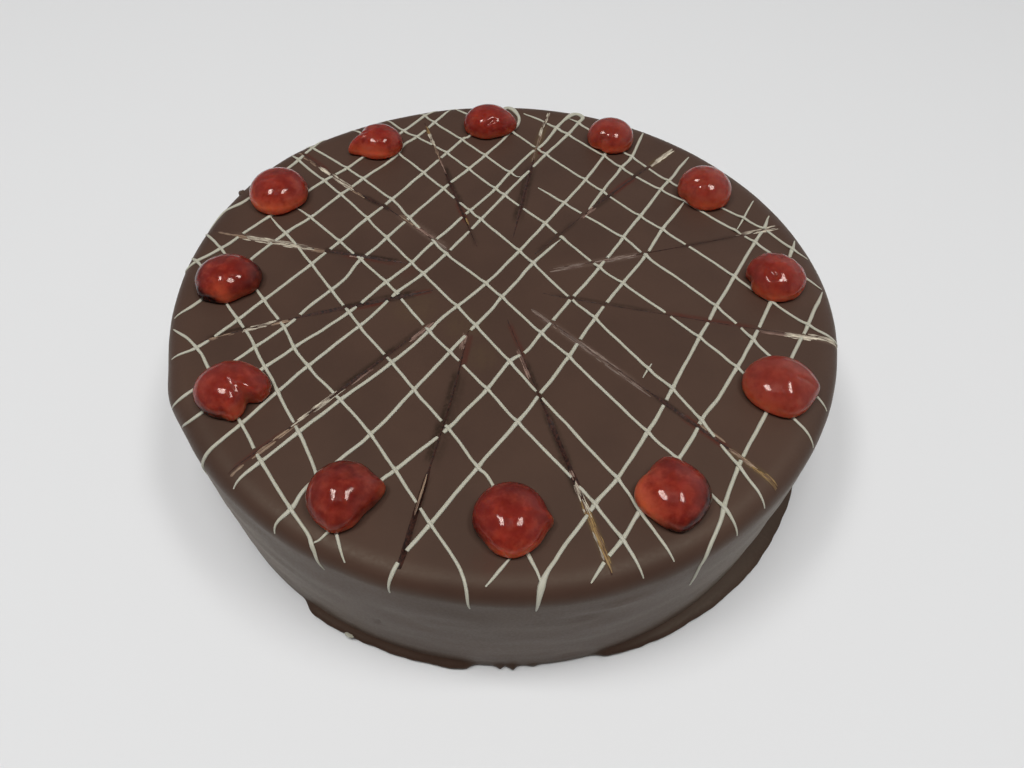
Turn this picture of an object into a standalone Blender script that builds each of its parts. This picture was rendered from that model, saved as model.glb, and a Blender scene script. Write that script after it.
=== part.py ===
"""Black forest cake: a whole round cake under poured chocolate, with twelve halved glace cherries.

Units are metres, +Z is up and +Y points away from the front of the cake. The origin is on the cake's
axis, on the surface that it stands on. Angles are in degrees, counter-clockwise from +X.

cake_body is one solid: sponge and cream can't be seen, because the cake hasn't been cut through.
Its top carries the twelve knife scores that mark the portions. Each cherry is a piece of its own.
"""

import math
from dataclasses import dataclass

import bmesh
import bpy
from mathutils import Vector

# ---------------------------------------------------------------- driving dimensions
CAKE_RADIUS = 0.1200            # widest part of the side, just under the rim
CAKE_HEIGHT = 0.0630
RIM_ROUND_WIDTH = 0.0120        # the poured chocolate rounds the rim over this width ...
RIM_ROUND_DEPTH = 0.0090        # ... and this depth
RIM_SQUARENESS = 2.2            # 2 would be an ellipse; higher is a squarer shoulder
BASE_RADIUS = 0.1168            # the side draws in a little towards the base
BASE_EASE = 0.0009              # small round at the very bottom edge
TURN_STEPS = 120
RIM_STEPS = 6
SIDE_STEPS = 5

FOOT_HEIGHT = 0.0050            # chocolate that ran down and pooled round the base
FOOT_FULL = 0.45                # up to this share of its height a foot has its whole spread
FOOT_GROWTH = 1.2               # the last spread is reached this many half lengths along
SCORE_WIDTH = 0.0013            # knife scores in the top
SCORE_DEPTH = 0.0020
SCORE_CLEARANCE = 0.0030        # how far a cutter stands above the top
SCORE_STEPS = 10
CHERRY_GAP = 0.0003             # meshes that rest on each other keep this gap
CHERRY_SIDES = 24
CHERRY_RINGS = 14
CHERRY_UNDERCUT = 18.0          # degrees of the round left below a cherry's widest level
CROWN_FADE = 0.45               # how much of a cherry's tip and bite is gone at its crown

COLLECTION = "black_forest_cake"
CUTTERS = "cutters"


# ---------------------------------------------------------------- what is uneven
@dataclass(frozen=True)
class Wave:
    """One harmonic of the cake's outline: count per turn, height, and the angle of its crest."""

    count: int
    height: float
    crest: float


@dataclass(frozen=True)
class Bulge:
    """One place where the side stands out: its angle, height and spread in degrees."""

    angle: float
    height: float
    spread: float


@dataclass(frozen=True)
class Foot:
    """A stretch of pooled chocolate at the base: where it runs, and its spread at either end."""

    start: float
    end: float
    first_spread: float
    last_spread: float
    taper: float


@dataclass(frozen=True)
class Score:
    """A knife score: angle and radius of its outer end, then of its inner end."""

    outer_angle: float
    outer_radius: float
    inner_angle: float
    inner_radius: float


@dataclass(frozen=True)
class Lobe:
    """Where a cherry's outline is drawn out (amount above 0) or torn in (amount below 0)."""

    angle: float
    amount: float
    spread: float


@dataclass(frozen=True)
class Cherry:
    """A halved cherry, cut side down: its place on the top, its size along X and Y, its lobes."""

    angle: float
    ring: float
    length: float
    width: float
    height: float
    lobes: tuple


OUTLINE = (
    Wave(2, 0.0004, 150.0),
    Wave(3, 0.0004, 142.0),
    Wave(5, 0.0003, 145.0),
)

BULGES = (
    Bulge(142.0, 0.0014, 13.0),
    Bulge(205.0, 0.0014, 5.0),
)

FEET = (
    Foot(234.0, 267.0, 0.0029, 0.0024, 4.0),
    Foot(285.0, 352.0, 0.0024, 0.0062, 6.0),
    Foot(18.0, 61.0, 0.0040, 0.0025, 8.0),
    Foot(97.0, 133.0, 0.0030, 0.0040, 7.0),
    Foot(168.0, 190.0, 0.0028, 0.0022, 6.0),
)

SCORES = (
    Score(19.0, 0.1140, 30.3, 0.0180),
    Score(50.3, 0.1125, 58.3, 0.0205),
    Score(80.6, 0.1135, 84.3, 0.0265),
    Score(110.3, 0.1075, 118.1, 0.0235),
    Score(137.6, 0.1165, 140.2, 0.0275),
    Score(166.6, 0.1155, 163.6, 0.0385),
    Score(196.3, 0.1080, 186.6, 0.0260),
    Score(225.0, 0.1155, 215.3, 0.0305),
    Score(256.1, 0.1150, 243.1, 0.0255),
    Score(285.8, 0.1155, 273.7, 0.0170),
    Score(316.1, 0.1165, 311.8, 0.0145),
    Score(349.6, 0.1165, 347.1, 0.0140),
)

CHERRIES = (
    Cherry(-88.2, 0.0968, 0.0222, 0.0233, 0.0100,
           (Lobe(-3.0, 0.15, 11.0), Lobe(225.0, -0.05, 25.0))),
    Cherry(-59.6, 0.1013, 0.0225, 0.0232, 0.0095,
           (Lobe(90.0, 0.11, 18.0), Lobe(138.0, -0.11, 20.0), Lobe(180.0, 0.04, 16.0),
            Lobe(46.0, -0.06, 20.0))),
    Cherry(-26.4, 0.1018, 0.0250, 0.0228, 0.0095,
           (Lobe(-85.0, 0.11, 22.0), Lobe(-35.0, -0.04, 14.0), Lobe(-5.0, 0.05, 9.0))),
    Cherry(3.2, 0.0996, 0.0217, 0.0222, 0.0095,
           (Lobe(186.0, -0.08, 12.0), Lobe(-100.0, 0.03, 25.0))),
    Cherry(34.8, 0.0975, 0.0216, 0.0226, 0.0110,
           (Lobe(215.0, -0.10, 14.0),)),
    Cherry(64.0, 0.1008, 0.0200, 0.0202, 0.0095,
           (Lobe(235.0, -0.12, 14.0),)),
    Cherry(95.2, 0.0988, 0.0220, 0.0198, 0.0095,
           (Lobe(2.0, 0.16, 20.0), Lobe(-65.0, -0.10, 20.0))),
    Cherry(123.9, 0.0985, 0.0203, 0.0188, 0.0095,
           (Lobe(203.0, 0.38, 14.0), Lobe(162.0, -0.18, 14.0))),
    Cherry(152.6, 0.1022, 0.0228, 0.0243, 0.0108,
           (Lobe(-50.0, -0.06, 20.0),)),
    Cherry(181.2, 0.0997, 0.0232, 0.0218, 0.0095,
           (Lobe(228.0, 0.09, 14.0), Lobe(25.0, 0.06, 15.0), Lobe(-50.0, -0.12, 20.0))),
    Cherry(210.9, 0.1017, 0.0238, 0.0214, 0.0095,
           (Lobe(-38.0, -0.33, 16.0), Lobe(-76.0, 0.12, 10.0), Lobe(12.0, 0.09, 18.0))),
    Cherry(243.0, 0.1012, 0.0214, 0.0224, 0.0100,
           (Lobe(15.0, 0.19, 15.0), Lobe(-38.0, -0.13, 20.0), Lobe(-92.0, 0.06, 16.0))),
)


# ---------------------------------------------------------------- helpers
def clear_scene():
    """Removes every object from the file."""
    for item in list(bpy.data.objects):
        bpy.data.objects.remove(item, do_unlink=True)


def new_collection(name):
    """A collection under the scene's own."""
    collection = bpy.data.collections.new(name)
    bpy.context.scene.collection.children.link(collection)
    return collection


def material(name, color, roughness, metallic=0.0):
    """A Principled material with one colour."""
    made = bpy.data.materials.new(name)
    made.use_nodes = True
    shader = made.node_tree.nodes["Principled BSDF"]
    shader.inputs["Base Color"].default_value = (*color, 1.0)
    shader.inputs["Roughness"].default_value = roughness
    shader.inputs["Metallic"].default_value = metallic
    return made


def polar(angle, radius, height=0.0):
    """The point at an angle in degrees, a radius and a height."""
    turn = math.radians(angle)
    return Vector((radius * math.cos(turn), radius * math.sin(turn), height))


def smooth(value):
    """0 below 0, 1 above 1, and an S-curve between."""
    value = min(max(value, 0.0), 1.0)
    return value * value * (3.0 - 2.0 * value)


def turned_from(angle, centre):
    """The signed difference between two angles, from -180 to 180 degrees."""
    return (angle - centre + 180.0) % 360.0 - 180.0


def bell(angle, centre, spread):
    """1 at centre, falling to nothing over about twice the spread."""
    return math.exp(-((turned_from(angle, centre) / spread) ** 2))


def plain_mesh(source, name):
    """The evaluated mesh of an object as new data, with the object removed."""
    graph = bpy.context.evaluated_depsgraph_get()
    mesh = bpy.data.meshes.new_from_object(source.evaluated_get(graph))
    mesh.transform(source.matrix_world)
    mesh.name = name
    bpy.data.objects.remove(source, do_unlink=True)
    return mesh


def place(name, mesh, collection, look=None):
    """An object for the mesh, in the collection, with its material and smooth shading."""
    item = bpy.data.objects.new(name, mesh)
    collection.objects.link(item)
    if look is not None:
        mesh.materials.clear()
        mesh.materials.append(look)
        mesh.shade_smooth()
        mesh.set_sharp_from_angle(angle=math.radians(40.0))
    return item


# ---------------------------------------------------------------- the cake
def cake_profile():
    """Radius and height down the outer side, from the middle of the top to the middle of the base."""
    flat_edge = CAKE_RADIUS - RIM_ROUND_WIDTH
    points = [(0.0, CAKE_HEIGHT), (0.035, CAKE_HEIGHT), (0.080, CAKE_HEIGHT)]
    for step in range(RIM_STEPS + 1):
        turn = math.radians(90.0 * step / RIM_STEPS)
        across = math.sin(turn) ** (2.0 / RIM_SQUARENESS)
        down = 1.0 - math.cos(turn) ** (2.0 / RIM_SQUARENESS)
        points.append((flat_edge + RIM_ROUND_WIDTH * across, CAKE_HEIGHT - RIM_ROUND_DEPTH * down))
    side_top = CAKE_HEIGHT - RIM_ROUND_DEPTH
    for step in range(1, SIDE_STEPS + 1):
        share = step / SIDE_STEPS
        radius = CAKE_RADIUS + (BASE_RADIUS - CAKE_RADIUS) * share ** 1.5
        points.append((radius, side_top + (FOOT_HEIGHT - side_top) * share))
    points.append((BASE_RADIUS, FOOT_HEIGHT * FOOT_FULL))
    points.append((BASE_RADIUS, BASE_EASE))
    points.append((BASE_RADIUS - BASE_EASE, 0.0))
    points.append((0.0, 0.0))
    return points


def foot_spread(angle):
    """How far the pooled chocolate stands out of the side at an angle."""
    spread = 0.0
    for foot in FEET:
        half = (foot.end - foot.start) / 2.0
        offset = turned_from(angle, foot.start + half)
        share = smooth((offset + half) / (FOOT_GROWTH * half))
        here = foot.first_spread + (foot.last_spread - foot.first_spread) * share
        spread = max(spread, here * smooth((half - abs(offset)) / foot.taper))
    return spread


def outline_wave(angle):
    """How far the cake is out of round at an angle."""
    waves = sum(wave.height * math.cos(math.radians(wave.count * (angle - wave.crest)))
                for wave in OUTLINE)
    return waves + sum(bulge.height * bell(angle, bulge.angle, bulge.spread) for bulge in BULGES)


def shape_body(mesh):
    """Takes the turned body out of round and spreads its foot."""
    for vertex in mesh.vertices:
        radius = math.hypot(vertex.co.x, vertex.co.y)
        if radius < 1e-6:
            continue
        angle = math.degrees(math.atan2(vertex.co.y, vertex.co.x))
        outward = outline_wave(angle) * (radius / CAKE_RADIUS) ** 2
        if radius > 0.9 * BASE_RADIUS:
            rise = (vertex.co.z / FOOT_HEIGHT - FOOT_FULL) / (1.0 - FOOT_FULL)
            low = 1.0 - smooth(rise)
            outward += foot_spread(angle) * low
        grown = (radius + outward) / radius
        vertex.co.x *= grown
        vertex.co.y *= grown


def turned_body():
    """The cake as a turned solid, before the scores are cut."""
    mesh = bpy.data.meshes.new("profile")
    points = cake_profile()
    edges = [(index, index + 1) for index in range(len(points) - 1)]
    mesh.from_pydata([(radius, 0.0, height) for radius, height in points], edges, [])
    profile = bpy.data.objects.new("profile", mesh)
    bpy.context.scene.collection.objects.link(profile)
    screw = profile.modifiers.new("turn", "SCREW")
    screw.axis = "Z"
    screw.angle = math.radians(360.0)
    screw.steps = TURN_STEPS
    screw.render_steps = TURN_STEPS
    screw.use_merge_vertices = True
    screw.merge_threshold = 0.00001
    body = plain_mesh(profile, "cake_body")
    shape_body(body)
    return body


def score_bite(share):
    """How deep the knife sits along a score, from 0 at its outer end to 1 at its inner end."""
    return max(0.1, min(1.0, share / 0.08, (1.0 - share) / 0.30))


def score_cutter(score, name, collection):
    """A wedge with its edge down, as a knife's. It comes up towards both ends."""
    start = polar(score.outer_angle, score.outer_radius)
    along = polar(score.inner_angle, score.inner_radius) - start
    across = Vector((-along.y, along.x, 0.0)).normalized() * SCORE_WIDTH
    spread = (SCORE_DEPTH + SCORE_CLEARANCE) / SCORE_DEPTH
    made = bmesh.new()
    bmesh.ops.create_cube(made, size=1.0)
    lengthwise = [edge for edge in made.edges
                  if abs(edge.verts[0].co.x - edge.verts[1].co.x) > 0.5]
    bmesh.ops.subdivide_edges(made, edges=lengthwise, cuts=SCORE_STEPS - 1, use_grid_fill=True)
    for vertex in made.verts:
        share = vertex.co.x + 0.5
        bite = score_bite(share)
        upper = vertex.co.z > 0.0
        side = vertex.co.y * bite * spread if upper else 0.0
        level = SCORE_CLEARANCE if upper else -SCORE_DEPTH * bite
        vertex.co = start + along * share + across * side
        vertex.co.z = CAKE_HEIGHT + level
    bmesh.ops.remove_doubles(made, verts=made.verts, dist=0.000001)
    bmesh.ops.recalc_face_normals(made, faces=made.faces)
    mesh = bpy.data.meshes.new(name)
    made.to_mesh(mesh)
    made.free()
    cutter = place(name, mesh, collection)
    cutter.hide_render = True
    cutter.display_type = "WIRE"
    return cutter


def cake_body(parts, cutters, look):
    """The cake, with its twelve scores cut by Booleans."""
    body = place("cake_body", turned_body(), parts, look)
    for number, score in enumerate(SCORES, start=1):
        cutter = score_cutter(score, f"score_cutter_{number:02d}", cutters)
        cut = body.modifiers.new(f"score_{number:02d}", "BOOLEAN")
        cut.operation = "DIFFERENCE"
        cut.solver = "EXACT"
        cut.object = cutter
    return body


# ---------------------------------------------------------------- the cherries
def cherry_outline(cherry, angle):
    """Radius of a cherry's widest level at an angle about its own axis."""
    turn = math.radians(angle)
    along = cherry.length / 2.0
    across = cherry.width / 2.0
    radius = along * across / math.hypot(across * math.cos(turn), along * math.sin(turn))
    for lobe in cherry.lobes:
        radius *= 1.0 + lobe.amount * bell(angle, lobe.angle, lobe.spread)
    return radius


def cherry_mesh(cherry, name):
    """A sphere cut flat a little below its widest level and drawn to the cherry's own shape."""
    made = bmesh.new()
    bmesh.ops.create_uvsphere(made, u_segments=CHERRY_SIDES, v_segments=CHERRY_RINGS, radius=1.0)
    cut_level = -math.sin(math.radians(CHERRY_UNDERCUT))
    everything = made.verts[:] + made.edges[:] + made.faces[:]
    cut = bmesh.ops.bisect_plane(made, geom=everything, plane_co=(0.0, 0.0, cut_level),
                                 plane_no=(0.0, 0.0, 1.0), clear_inner=True)
    rim = [part for part in cut["geom_cut"] if isinstance(part, bmesh.types.BMEdge)]
    bmesh.ops.contextual_create(made, geom=rim)
    plain = min(cherry.length, cherry.width) / 2.0
    base = polar(cherry.angle, cherry.ring, CAKE_HEIGHT + CHERRY_GAP)
    for vertex in made.verts:
        out = math.hypot(vertex.co.x, vertex.co.y)
        angle = math.degrees(math.atan2(vertex.co.y, vertex.co.x))
        level = (vertex.co.z - cut_level) / (1.0 - cut_level)
        edge = plain + (cherry_outline(cherry, angle) - plain) * (1.0 - CROWN_FADE * level)
        vertex.co = base + polar(angle, edge * out, cherry.height * level)
    bmesh.ops.recalc_face_normals(made, faces=made.faces)
    mesh = bpy.data.meshes.new(name)
    made.to_mesh(mesh)
    made.free()
    return mesh


def main():
    """Builds the cake and its cherries."""
    clear_scene()
    parts = new_collection(COLLECTION)
    cutters = new_collection(CUTTERS)
    chocolate = material("milk_chocolate_coating", (0.072, 0.042, 0.034), 0.42)
    glace = material("glace_cherry", (0.190, 0.022, 0.014), 0.12)
    cake_body(parts, cutters, chocolate)
    for number, cherry in enumerate(CHERRIES, start=1):
        name = f"cherry_{number:02d}"
        place(name, cherry_mesh(cherry, name), parts, glace)


main()
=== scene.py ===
"""A black forest cake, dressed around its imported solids.

A coat of poured dark chocolate with twelve knife scores, twelve halved glace cherries, two passes of
white chocolate drizzle, and what the knife dragged up. Lengths are metres unless a name ends in _mm,
+Z is up and +Y points away from the front. Angles are degrees, counter-clockwise from +X.

Anything laid on the cake is given in unrolled millimetres (x, y): straight out from the axis over the
top, round the rim and down the side. CakeSkin.fold puts such a point on the cake.
"""

import logging
import math
from dataclasses import dataclass, field
from enum import Enum

import bmesh
import bpy
import numpy as np
from bpy.types import Material, Mesh, Node, NodeSocket, NodeTree, Object, bpy_prop_collection
from mathutils import Matrix, Vector, kdtree, noise

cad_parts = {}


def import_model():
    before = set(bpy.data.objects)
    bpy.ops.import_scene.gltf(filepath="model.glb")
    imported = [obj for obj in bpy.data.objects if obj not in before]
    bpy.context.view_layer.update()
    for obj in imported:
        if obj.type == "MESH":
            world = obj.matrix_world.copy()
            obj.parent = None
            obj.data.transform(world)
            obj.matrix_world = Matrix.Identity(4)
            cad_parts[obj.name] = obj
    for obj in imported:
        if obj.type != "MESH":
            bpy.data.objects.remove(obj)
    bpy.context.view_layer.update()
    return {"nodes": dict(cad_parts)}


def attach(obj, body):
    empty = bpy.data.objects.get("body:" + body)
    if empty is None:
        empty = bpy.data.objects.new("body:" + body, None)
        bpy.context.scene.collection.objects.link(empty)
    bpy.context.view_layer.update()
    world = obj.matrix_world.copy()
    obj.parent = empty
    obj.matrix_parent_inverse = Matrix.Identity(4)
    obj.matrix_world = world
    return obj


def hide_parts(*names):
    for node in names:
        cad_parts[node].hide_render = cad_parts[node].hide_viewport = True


MM = 0.001
BODY = "root"
log = logging.getLogger("black_forest_cake")

Array = np.ndarray
Point = tuple[float, float]


# -------- small helpers
def linear(hex_code: str) -> tuple[float, float, float, float]:
    """Turns an sRGB hex colour to linear light.

    Args:
        hex_code: Six hex digits.

    Returns:
        Red, green, blue and an alpha of 1.
    """
    parts = [int(hex_code[at:at + 2], 16) / 255.0 for at in (0, 2, 4)]
    light = [part / 12.92 if part <= 0.04045 else ((part + 0.055) / 1.055) ** 2.4 for part in parts]
    return light[0], light[1], light[2], 1.0


def fill(tree: NodeTree, node: Node, sockets: dict) -> None:
    """Gives a node its input values and its links.

    Args:
        tree: The tree that it is in.
        node: The node.
        sockets: Input name or number, to a value or to an output socket that is linked to it.
    """
    for key, value in sockets.items():
        if isinstance(value, NodeSocket):
            tree.links.new(value, node.inputs[key])
        else:
            node.inputs[key].default_value = value


def add_node(tree: NodeTree, kind: str, sockets: dict | None = None, **settings) -> Node:
    """Adds one node with its settings, its input values and its links.

    Args:
        tree: The tree it goes into.
        kind: Blender's name for the node.
        sockets: What fill puts into its inputs.
        **settings: The node's own properties.

    Returns:
        The new node.
    """
    node = tree.nodes.new(kind)
    for name, value in settings.items():
        setattr(node, name, value)
    fill(tree, node, sockets or {})
    return node


def smooth_step(value: Array | float) -> Array | float:
    """0 below 0, 1 above 1, and an S-curve between."""
    value = np.clip(value, 0.0, 1.0)
    return value * value * (3.0 - 2.0 * value)


def turned_from(angle: Array, centre: float) -> Array:
    """The signed difference between angles and a centre, from -180 to 180 degrees."""
    return (angle - centre + 180.0) % 360.0 - 180.0


def bell(angle: Array, centre: float, spread: float) -> Array:
    """1 at the centre, falling to nothing over about twice the spread."""
    return np.exp(-((turned_from(angle, centre) / spread) ** 2))


def grain(points: Array, size: float, seed: float = 0.0) -> Array:
    """Smooth noise at each point, about -0.7 to 0.7.

    Args:
        points: Rows of x, y, z in metres.
        size: The length of one bump in metres.
        seed: Moves the pattern.

    Returns:
        One value for each point.
    """
    shift = Vector((seed * 7.31, seed * 3.17, seed * 5.73))
    return np.array([noise.noise(Vector(point) / size + shift) for point in points])


def smooth_path(points: tuple[Point, ...], step: float) -> Array:
    """A Catmull-Rom curve through the points, at an even step.

    Args:
        points: The places that it goes through.
        step: The distance between the samples, in the points' own unit.

    Returns:
        Rows of x, y.
    """
    ends = np.array(points, float)
    ring = np.vstack([2 * ends[0] - ends[1], ends, 2 * ends[-1] - ends[-2]])
    fine = []
    for at in range(1, len(ring) - 2):
        before, start, end, after = ring[at - 1:at + 3]
        share = np.linspace(0.0, 1.0, 24, endpoint=False)[:, None]
        fine.append(0.5 * (2 * start + (end - before) * share
                           + (2 * before - 5 * start + 4 * end - after) * share ** 2
                           + (3 * start - before - 3 * end + after) * share ** 3))
    curve = np.vstack([*fine, ends[-1:]])
    along = np.concatenate([[0.0], np.cumsum(np.hypot(*np.diff(curve, axis=0).T))])
    even = np.linspace(0.0, along[-1], max(3, round(along[-1] / step) + 1))
    return np.stack([np.interp(even, along, curve[:, axis]) for axis in (0, 1)], axis=1)


def search_tree(places: Array) -> kdtree.KDTree:
    """A tree that finds the nearest of some points laid flat.

    Args:
        places: Rows of x and y.

    Returns:
        The tree. It numbers the points as the rows are.
    """
    tree = kdtree.KDTree(len(places))
    for at, spot in enumerate(places):
        tree.insert((spot[0], spot[1], 0.0), at)
    tree.balance()
    return tree


def new_material(name: str) -> tuple[Material, NodeTree, Node]:
    """A material with a plain Principled shader.

    Args:
        name: The material's name.

    Returns:
        The material, its node tree and its shader.
    """
    made = bpy.data.materials.new(name)
    made.use_nodes = True
    return made, made.node_tree, made.node_tree.nodes["Principled BSDF"]


def mesh_object(name: str, verts: Array, edges: list, faces: list) -> Object:
    """Makes an object in the scene from plain mesh data.

    Args:
        name: The object's name.
        verts: Rows of x, y, z.
        edges: Pairs of vertex numbers.
        faces: Vertex numbers, counter-clockwise from outside.

    Returns:
        The object.
    """
    mesh = bpy.data.meshes.new(name)
    mesh.from_pydata([tuple(vert) for vert in verts], edges, faces)
    mesh.update()
    made = bpy.data.objects.new(name, mesh)
    bpy.context.scene.collection.objects.link(made)
    return made


def set_attribute(mesh: Mesh, name: str, values: Array) -> None:
    """Stores one number, or one colour, for each vertex under a name.

    Args:
        mesh: The mesh that carries it.
        name: The attribute's name, as the materials read it.
        values: A number for each vertex, or a row of red, green, blue and alpha.
    """
    is_colour = values.ndim == 2
    layer = mesh.attributes.new(name, "FLOAT_COLOR" if is_colour else "FLOAT", "POINT")
    layer.data.foreach_set("color" if is_colour else "value", values.astype(np.float32).ravel())


def coordinates(mesh: Mesh) -> Array:
    """Where a mesh's vertices are.

    Args:
        mesh: The mesh.

    Returns:
        Rows of x, y, z.
    """
    flat = np.zeros(len(mesh.vertices) * 3, np.float32)
    mesh.vertices.foreach_get("co", flat)
    return flat.reshape(-1, 3).astype(float)


def move_vertices(mesh: Mesh, places: Array) -> None:
    """Puts the mesh's vertices at new places."""
    mesh.vertices.foreach_set("co", places.astype(np.float32).ravel())
    mesh.update()


def make_plain(item: Object) -> None:
    """Replaces an object's mesh and live modifiers by the mesh that they make.

    Args:
        item: The object.
    """
    graph = bpy.context.evaluated_depsgraph_get()
    made = bpy.data.meshes.new_from_object(item.evaluated_get(graph), depsgraph=graph)
    old = item.data
    item.modifiers.clear()
    item.data = made
    made.name = item.name
    bpy.data.meshes.remove(old)


def face_outwards(mesh: Mesh) -> None:
    """Turns every face of a closed mesh outwards.

    Args:
        mesh: The mesh.
    """
    made = bmesh.new()
    made.from_mesh(mesh)
    bmesh.ops.recalc_face_normals(made, faces=made.faces)
    made.to_mesh(mesh)
    made.free()


def finish_piece(item: Object, look: Material | None, sharp: float = 180.0) -> None:
    """Gives a piece its material and shading, and lets it ride on the cake.

    Args:
        item: The piece.
        look: Its material, or None where its faces already have theirs.
        sharp: Edges that turn more than this many degrees stay sharp.
    """
    if look:
        item.data.materials.clear()
        item.data.materials.append(look)
    item.data.shade_smooth()
    if sharp < 180.0:
        item.data.set_sharp_from_angle(angle=math.radians(sharp))
    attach(item, BODY)
    item.data.calc_loop_triangles()
    log.info("%s: %d triangles", item.name, len(item.data.loop_triangles))


# -------- the cake's skin
@dataclass(frozen=True)
class Wave:
    """One harmonic of the cake's outline: count per turn, height, and the angle of its crest."""

    count: int
    height: float
    crest: float


@dataclass(frozen=True)
class Bulge:
    """One place where the side or the foot stands out: its angle, height and spread in degrees."""

    angle: float
    height: float
    spread: float


@dataclass(frozen=True)
class Foot:
    """A stretch of pooled chocolate at the base: where it runs, and its spread at either end."""

    start: float
    end: float
    first_spread: float
    last_spread: float
    taper: float


@dataclass(frozen=True)
class Dimple:
    """A small hollow (depth above 0) or swelling in the side: its place, half size and depth."""

    angle: float
    level: float
    across: float
    tall: float
    depth: float


@dataclass(frozen=True)
class CakeSkin:
    """The outer surface that everything lies on. Its radius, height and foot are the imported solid's."""

    radius: float = 0.1200
    height: float = 0.0630
    rim_width: float = 0.0085       # the coat ran thin over the edge, so it turns tighter than the solid
    rim_depth: float = 0.0068
    squareness: float = 2.2         # 2 would be round
    base_radius: float = 0.1168
    side_draw: float = 1.5          # how the side draws in to it: above 1, mostly low down
    foot_height: float = 0.0050
    foot_growth: float = 1.2        # a pool has its last spread this many half lengths after its start
    waves: tuple[Wave, ...] = (Wave(2, 0.0004, 150.0), Wave(3, 0.0004, 142.0), Wave(5, 0.0003, 145.0))
    bulges: tuple[Bulge, ...] = (Bulge(142.0, 0.0014, 13.0), Bulge(205.0, 0.0014, 5.0))
    feet: tuple[Foot, ...] = (
        Foot(234.0, 267.0, 0.0029, 0.0024, 4.0),
        Foot(285.0, 352.0, 0.0024, 0.0062, 6.0),
        Foot(18.0, 61.0, 0.0040, 0.0025, 8.0),
        Foot(97.0, 133.0, 0.0030, 0.0040, 7.0),
        Foot(168.0, 190.0, 0.0028, 0.0022, 6.0),
    )
    drips: tuple[Bulge, ...] = (
        Bulge(265.2, 0.0007, 0.8), Bulge(270.5, 0.0013, 0.5), Bulge(272.6, 0.0016, 0.6),
        Bulge(276.0, 0.0006, 0.7), Bulge(288.0, 0.0005, 0.8),
    )
    foot_relief: float = 0.0003     # how unevenly the edge of the pool runs,
    foot_bump: float = 0.007        # in bumps this long
    foot_ripple: float = 0.0025     # with finer ones over them
    foot_full: float = 0.002        # and fully so where the pool is at least this wide
    top_relief: float = 0.00010     # soft unevenness of the coat, on top and on the side
    side_relief: float = 0.00045
    ridge_level: float = 0.0100     # a faint lip near the base, where the coat ran over the first one
    ridge_height: float = 0.00028
    ridge_half: float = 0.0016      # half its width
    ridge_gap: float = 0.040        # it comes and goes over about this length
    top_bump: float = 0.030         # the length of one bump on top,
    side_bump: float = 0.026        # of one on the side,
    side_ripple: float = 0.011      # and of a finer one over it
    side_squash: float = 2.4        # bumps on the side are this many times as long as they are tall
    side_start: float = 0.112       # the side's unevenness takes over from this path length ...
    side_blend: float = 0.016       # ... over this much more
    foot_clear: float = 0.004       # and it fades out towards this height
    dimples: tuple[Dimple, ...] = (
        Dimple(251.6, 0.0262, 0.0009, 0.0007, 0.0007), Dimple(249.9, 0.0235, 0.0006, 0.0005, 0.0003),
        Dimple(287.0, 0.0490, 0.0075, 0.0016, -0.0005), Dimple(282.0, 0.0455, 0.0060, 0.0018, 0.0005),
        Dimple(262.0, 0.0420, 0.0090, 0.0022, 0.0003), Dimple(232.0, 0.0330, 0.0100, 0.0030, -0.0004),
    )

    def rim_length(self) -> float:
        """The length of the skin from the axis to the lower edge of the round rim."""
        return self.rim_table()[0][-1]

    def rim_table(self) -> tuple[Array, Array, Array]:
        """The round rim at close steps, from the flat top to its lower edge.

        Returns:
            Path length, radius and height at each step.
        """
        flat = self.radius - self.rim_width
        turn = np.radians(np.linspace(0.0, 90.0, 400))
        out = flat + self.rim_width * np.sin(turn) ** (2.0 / self.squareness)
        down = self.height - self.rim_depth * (1.0 - np.cos(turn) ** (2.0 / self.squareness))
        length = flat + np.concatenate([[0.0], np.cumsum(np.hypot(np.diff(out), np.diff(down)))])
        return length, out, down

    def profile(self, along: Array) -> tuple[Array, Array, Array, Array]:
        """The plain turned shape at a length along the skin.

        Args:
            along: Path length from the axis, over the rim and down the side.

        Returns:
            Radius and height, and the outward direction's parts along the radius and along +Z.
        """
        length, out, down = self.rim_table()
        low = self.height - self.rim_depth
        side = np.linspace(0.0, low, 60)
        flat_top = [0.0, 0.05]      # two places on it, as path length and as radius
        drop = np.clip(side / (low - self.foot_height), 0.0, 1.0)
        length = np.concatenate([flat_top, length, length[-1] + side[1:]])
        drawn = self.radius + (self.base_radius - self.radius) * drop[1:] ** self.side_draw
        out = np.concatenate([flat_top, out, drawn])
        down = np.concatenate([[self.height] * 2, down, low - side[1:]])
        slope_out = np.gradient(out, length)
        slope_down = np.gradient(down, length)
        size = np.hypot(slope_out, slope_down)
        return (np.interp(along, length, out), np.interp(along, length, down),
                np.interp(along, length, -slope_down / size), np.interp(along, length, slope_out / size))

    def out_of_round(self, angle: Array) -> Array:
        """How far the cake is out of round.

        Args:
            angle: Angles about the axis.

        Returns:
            A distance outwards for each.
        """
        total = sum(wave.height * np.cos(np.radians(wave.count * (angle - wave.crest)))
                    for wave in self.waves)
        return total + sum(place.height * bell(angle, place.angle, place.spread)
                           for place in self.bulges)

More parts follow.
